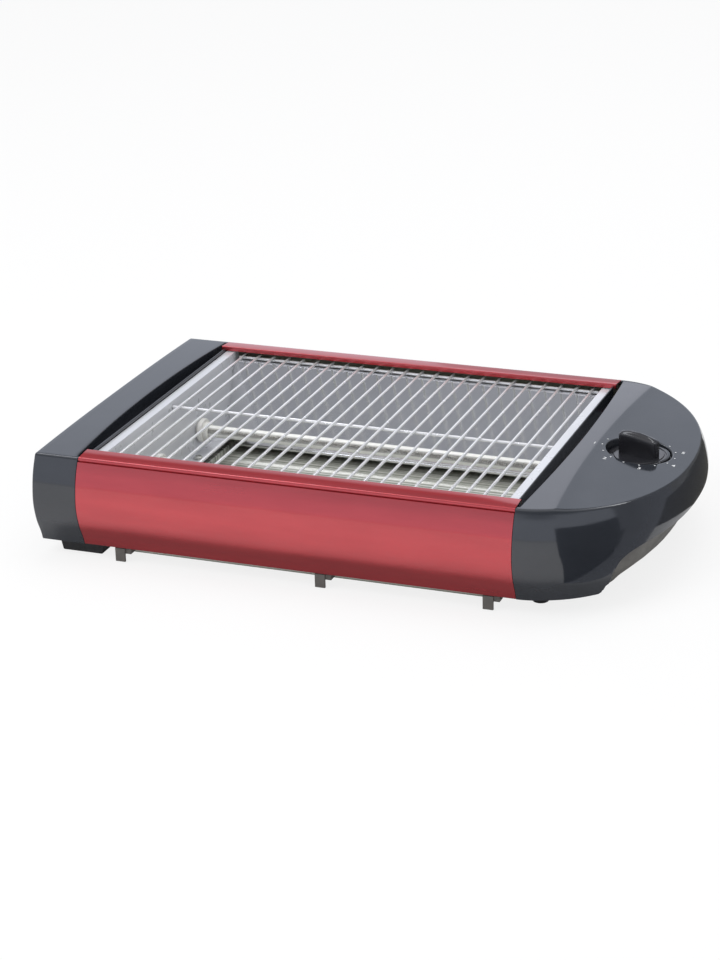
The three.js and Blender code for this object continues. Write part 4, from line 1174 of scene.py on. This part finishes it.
# Elevation above the horizon, and the colour that reflections find there
SKY = [
    (0, (0.82, 0.87, 0.99)), (26.5, (0.82, 0.87, 0.99)), (29.5, (0.15, 0.16, 0.18)), (36, (0.3, 0.31, 0.34)),
    (44, (0.3, 0.31, 0.34)), (52, (0.8, 0.82, 0.87)), (78, (0.88, 0.89, 0.93)),
]
FILL = (0.72, 0.725, 0.74)
SEEN_THROUGH_GLASS = (0.95, 0.95, 0.95)
WHITE = (1, 1, 1)
FLOOR_ROUGHNESS = 0.9
FLOOR_TONE = (0.86, 0.86, 0.86)
SHADED_TONE = (0.12, 0.12, 0.12)
SHADE_RANGE = (0.9, 0.66)
GLOSSY_FLOOR_GLOW = 0.2
SHADE_REACH = 0.034
CAMERA_FLOOR_GLOW = 0.82
CAMERA_AZIMUTH = 21.332
CAMERA_ELEVATION = 21.657
CAMERA_ROLL = -1.635
CAMERA_DISTANCE = 1.47193
CAMERA_TARGET = (0.01342, -0.09926, 0.067)
CAMERA_LENS = 93.75
CAMERA_SENSOR = 36
CAMERA_CLIP = (0.05, 50)
# Place, target, size and power of each softbox
LIGHTS = {
    "key_softbox": ((-0.9, -1.1, 1.5), (0, 0, 0.03), (1.2, 1.2), 14),
    "top_softbox": ((0.2, 0.4, 1.8), (0, 0, 0.05), (1.4, 1.4), 12),
}
# Front corner of the rounded end, from which the cards are placed
CORNER = (0.15, -0.118)
CARD_LIFT = 0.001
# Glow of each card, and its corners: azimuth from the front to the right, distance, and height if it stands
CARDS = {
    "dark_floor": ((0.03, 0.03, 0.035), [(36, 0), (36, 3), (60, 4), (95, 3), (100, 0.12)]),
    "mid_floor": ((0.3, 0.31, 0.35), [(36, 0), (100, 0.12), (95, 3), (130, 3), (130, 0.2)]),
    "low_board": ((0.03, 0.03, 0.035), [(36, 2), (92, 2), (92, 2, 0.58), (36, 2, 0.58)]),
    "high_board": ((0.3, 0.31, 0.35), [(92, 2), (135, 2), (135, 2, 1.3), (92, 2, 1.3)]),
    "rear_floor": ((0.09, 0.085, 0.075), [(130, 0.2), (130, 3), (152, 3), (174, 3), (174, 0.2)]),
    "rim_card": ((5, 5.1, 5.3), [(128, 1.2, 1.15), (176, 1.2, 1.15), (176, 1.1, 1.28), (128, 1.1, 1.28)]),
    "rear_board": ((0.7, 0.75, 0.86),
                   [(174, 3), (188.3, 3), (188.3, 3, 1), (191.5, 3, 1.75), (174, 3, 1.75)]),
    "low_rear_board": ((0.5, 0.53, 0.6), [(188.3, 3), (200, 3), (200, 3, 0.8), (188.3, 3, 0.8)]),
    "bright_board": ((1.15, 1.19, 1.34),
                     [(188.3, 3.05, 0.8), (200, 3.05, 0.8), (200, 3.05, 2.1), (192.5, 3.05, 2.1)]),
    "lamp_card": ((4, 4.1, 4.4), [(216, 2, 1.9), (250, 2, 1.9), (250, 2, 3.4), (216, 2, 3.4)]),
    "back_board": ((0.28, 0.28, 0.28), [(135, 2), (174, 2), (174, 2, 1), (135, 2, 1)]),
}


def make_camera():
    azimuth, elevation, roll = radians(CAMERA_AZIMUTH), radians(CAMERA_ELEVATION), radians(CAMERA_ROLL)
    back = Vector((sin(azimuth) * cos(elevation), -cos(azimuth) * cos(elevation), sin(elevation)))
    level = Vector((cos(azimuth), sin(azimuth), 0))
    upward = back.cross(level)
    right = level * cos(roll) + upward * sin(roll)
    up = upward * cos(roll) - level * sin(roll)
    data = bpy.data.cameras.new("camera")
    data.lens = CAMERA_LENS
    data.sensor_width = CAMERA_SENSOR
    data.clip_start, data.clip_end = CAMERA_CLIP
    camera = linked("camera", data)
    rotation = Matrix((right, up, back)).transposed().to_4x4()
    camera.matrix_world = Matrix.Translation(Vector(CAMERA_TARGET) + back * CAMERA_DISTANCE) @ rotation
    bpy.context.scene.camera = camera


def make_light(name, place, target, size, power):
    data = bpy.data.lights.new(name, "AREA")
    data.shape = "RECTANGLE"
    data.size, data.size_y = size
    data.energy = power
    light = linked(name, data)
    light.location = place
    light.rotation_mode = "QUATERNION"
    light.rotation_quaternion = (Vector(target) - Vector(place)).to_track_quat("-Z", "Y")
    light.visible_glossy = False


def toward(azimuth, distance, height=CARD_LIFT):
    turn = radians(azimuth)
    return (CORNER[0] + sin(turn) * distance, CORNER[1] - cos(turn) * distance, height)


def make_card(name, glow_color, corners):
    """A dark or pale card that shows only in reflections."""
    mesh = bpy.data.meshes.new(name)
    mesh.from_pydata([toward(*corner) for corner in corners], [], [tuple(range(len(corners)))])
    card = linked(name, mesh)
    material, nodes, links = new_material(name)
    glow = set_inputs(nodes.new("ShaderNodeEmission"), color=(*glow_color, 1))
    links.new(glow.outputs["Emission"], nodes["Material Output"].inputs["Surface"])
    mesh.materials.append(material)
    for kind in ("camera", "diffuse", "transmission", "shadow", "volume_scatter"):
        setattr(card, "visible_" + kind, False)


def mix_color(nodes, links, factor, first, second):
    mix = nodes.new("ShaderNodeMix")
    mix.data_type = "RGBA"
    links.new(factor, mix.inputs["Factor"])
    for socket, value in ((mix.inputs[6], first), (mix.inputs[7], second)):
        if isinstance(value, tuple):
            socket.default_value = (*value, 1)
        else:
            links.new(value, socket)
    return mix.outputs[2]


def make_world():
    """A surround that is white to the camera, and in reflections bands of the colours in SKY."""
    world = bpy.data.worlds.new("studio")
    bpy.context.scene.world = world
    world.use_nodes = True
    nodes, links = world.node_tree.nodes, world.node_tree.links
    path = nodes.new("ShaderNodeLightPath")
    split = nodes.new("ShaderNodeSeparateXYZ")
    links.new(nodes.new("ShaderNodeTexCoord").outputs["Generated"], split.inputs["Vector"])
    ramp = nodes.new("ShaderNodeValToRGB")
    elements = ramp.color_ramp.elements
    elements.remove(elements[1])
    elements[0].color = (*SKY[0][1], 1)
    for elevation, color in SKY[1:]:
        elements.new(sin(radians(elevation))).color = (*color, 1)
    links.new(split.outputs["Z"], ramp.inputs["Fac"])
    fill = mix_color(nodes, links, path.outputs["Is Glossy Ray"], FILL, ramp.outputs["Color"])
    shown = mix_color(nodes, links, path.outputs["Is Transmission Ray"], fill, SEEN_THROUGH_GLASS)
    final = mix_color(nodes, links, path.outputs["Is Camera Ray"], shown, WHITE)
    links.new(final, nodes["Background"].inputs["Color"])


def multiplied(nodes, links, first, second):
    """The product of an output and a number or another output."""
    node = nodes.new("ShaderNodeMath")
    node.operation = "MULTIPLY"
    links.new(first, node.inputs[0])
    if isinstance(second, float):
        node.inputs[1].default_value = second
    else:
        links.new(second, node.inputs[1])
    return node.outputs["Value"]


def make_floor():
    """A pale floor that keeps the object's shadow; reflections show it dimmer, with painted shade darkest by
    the object.
    """
    mesh = bpy.data.meshes.new("floor")
    corners = [(x * FLOOR_SIZE / 2, y * FLOOR_SIZE / 2, 0) for x, y in ((-1, -1), (1, -1), (1, 1), (-1, 1))]
    mesh.from_pydata(corners, [], [(0, 1, 2, 3)])
    floor = linked("floor", mesh)
    material, nodes, links = new_material("pale_floor")
    shader = set_inputs(nodes["Principled BSDF"], roughness=FLOOR_ROUGHNESS)
    path = nodes.new("ShaderNodeLightPath")
    mirrored = path.outputs["Is Glossy Ray"]
    near = set_inputs(nodes.new("ShaderNodeAmbientOcclusion"), distance=SHADE_REACH)
    shade_share = map_range(nodes, links, near.outputs["AO"], SHADE_RANGE, (0, 1))
    tone = mix_color(nodes, links, multiplied(nodes, links, mirrored, shade_share), FLOOR_TONE, SHADED_TONE)
    links.new(tone, shader.inputs["Base Color"])
    share = nodes.new("ShaderNodeMath")
    share.operation = "MULTIPLY_ADD"
    share.inputs[1].default_value = CAMERA_FLOOR_GLOW
    links.new(path.outputs["Is Camera Ray"], share.inputs[0])
    links.new(multiplied(nodes, links, mirrored, GLOSSY_FLOOR_GLOW), share.inputs[2])
    white = set_inputs(nodes.new("ShaderNodeEmission"), color=(*WHITE, 1))
    mix = nodes.new("ShaderNodeMixShader")
    links.new(share.outputs["Value"], mix.inputs["Fac"])
    links.new(shader.outputs["BSDF"], mix.inputs[1])
    links.new(white.outputs["Emission"], mix.inputs[2])
    links.new(mix.outputs["Shader"], nodes["Material Output"].inputs["Surface"])
    mesh.materials.append(material)


make_camera()
make_world()
make_floor()
for name, values in CARDS.items():
    make_card(name, *values)
for name, values in LIGHTS.items():
    make_light(name, *values)

make_panel("front_panel", 1)
make_panel("rear_panel", -1)
make_left_cap()
make_right_housing()
make_grill()
for heater in ("front", "rear"):
    make_tube(heater + "_quartz_tube")
    make_coil(heater + "_heating_coil")
    make_holder(heater + "_left_ceramic_holder", -1)
    make_holder(heater + "_right_ceramic_holder", 1)
make_tray()
make_knob()
make_dial()
for kind, count in (("base_cover_screw", 4), ("rail_screw", 4), ("end_plate_screw", 2), ("timer_screw", 2)):
    for number in range(1, count + 1):
        make_screw(f"{kind}_{number}")
for end in ("front", "rear"):
    make_round_foot(f"right_{end}_foot")
for nodes, *finish in PLAIN_PARTS:
    for node in nodes:
        dress(node, *finish)

bpy.context.scene.view_settings.view_transform = "Standard"
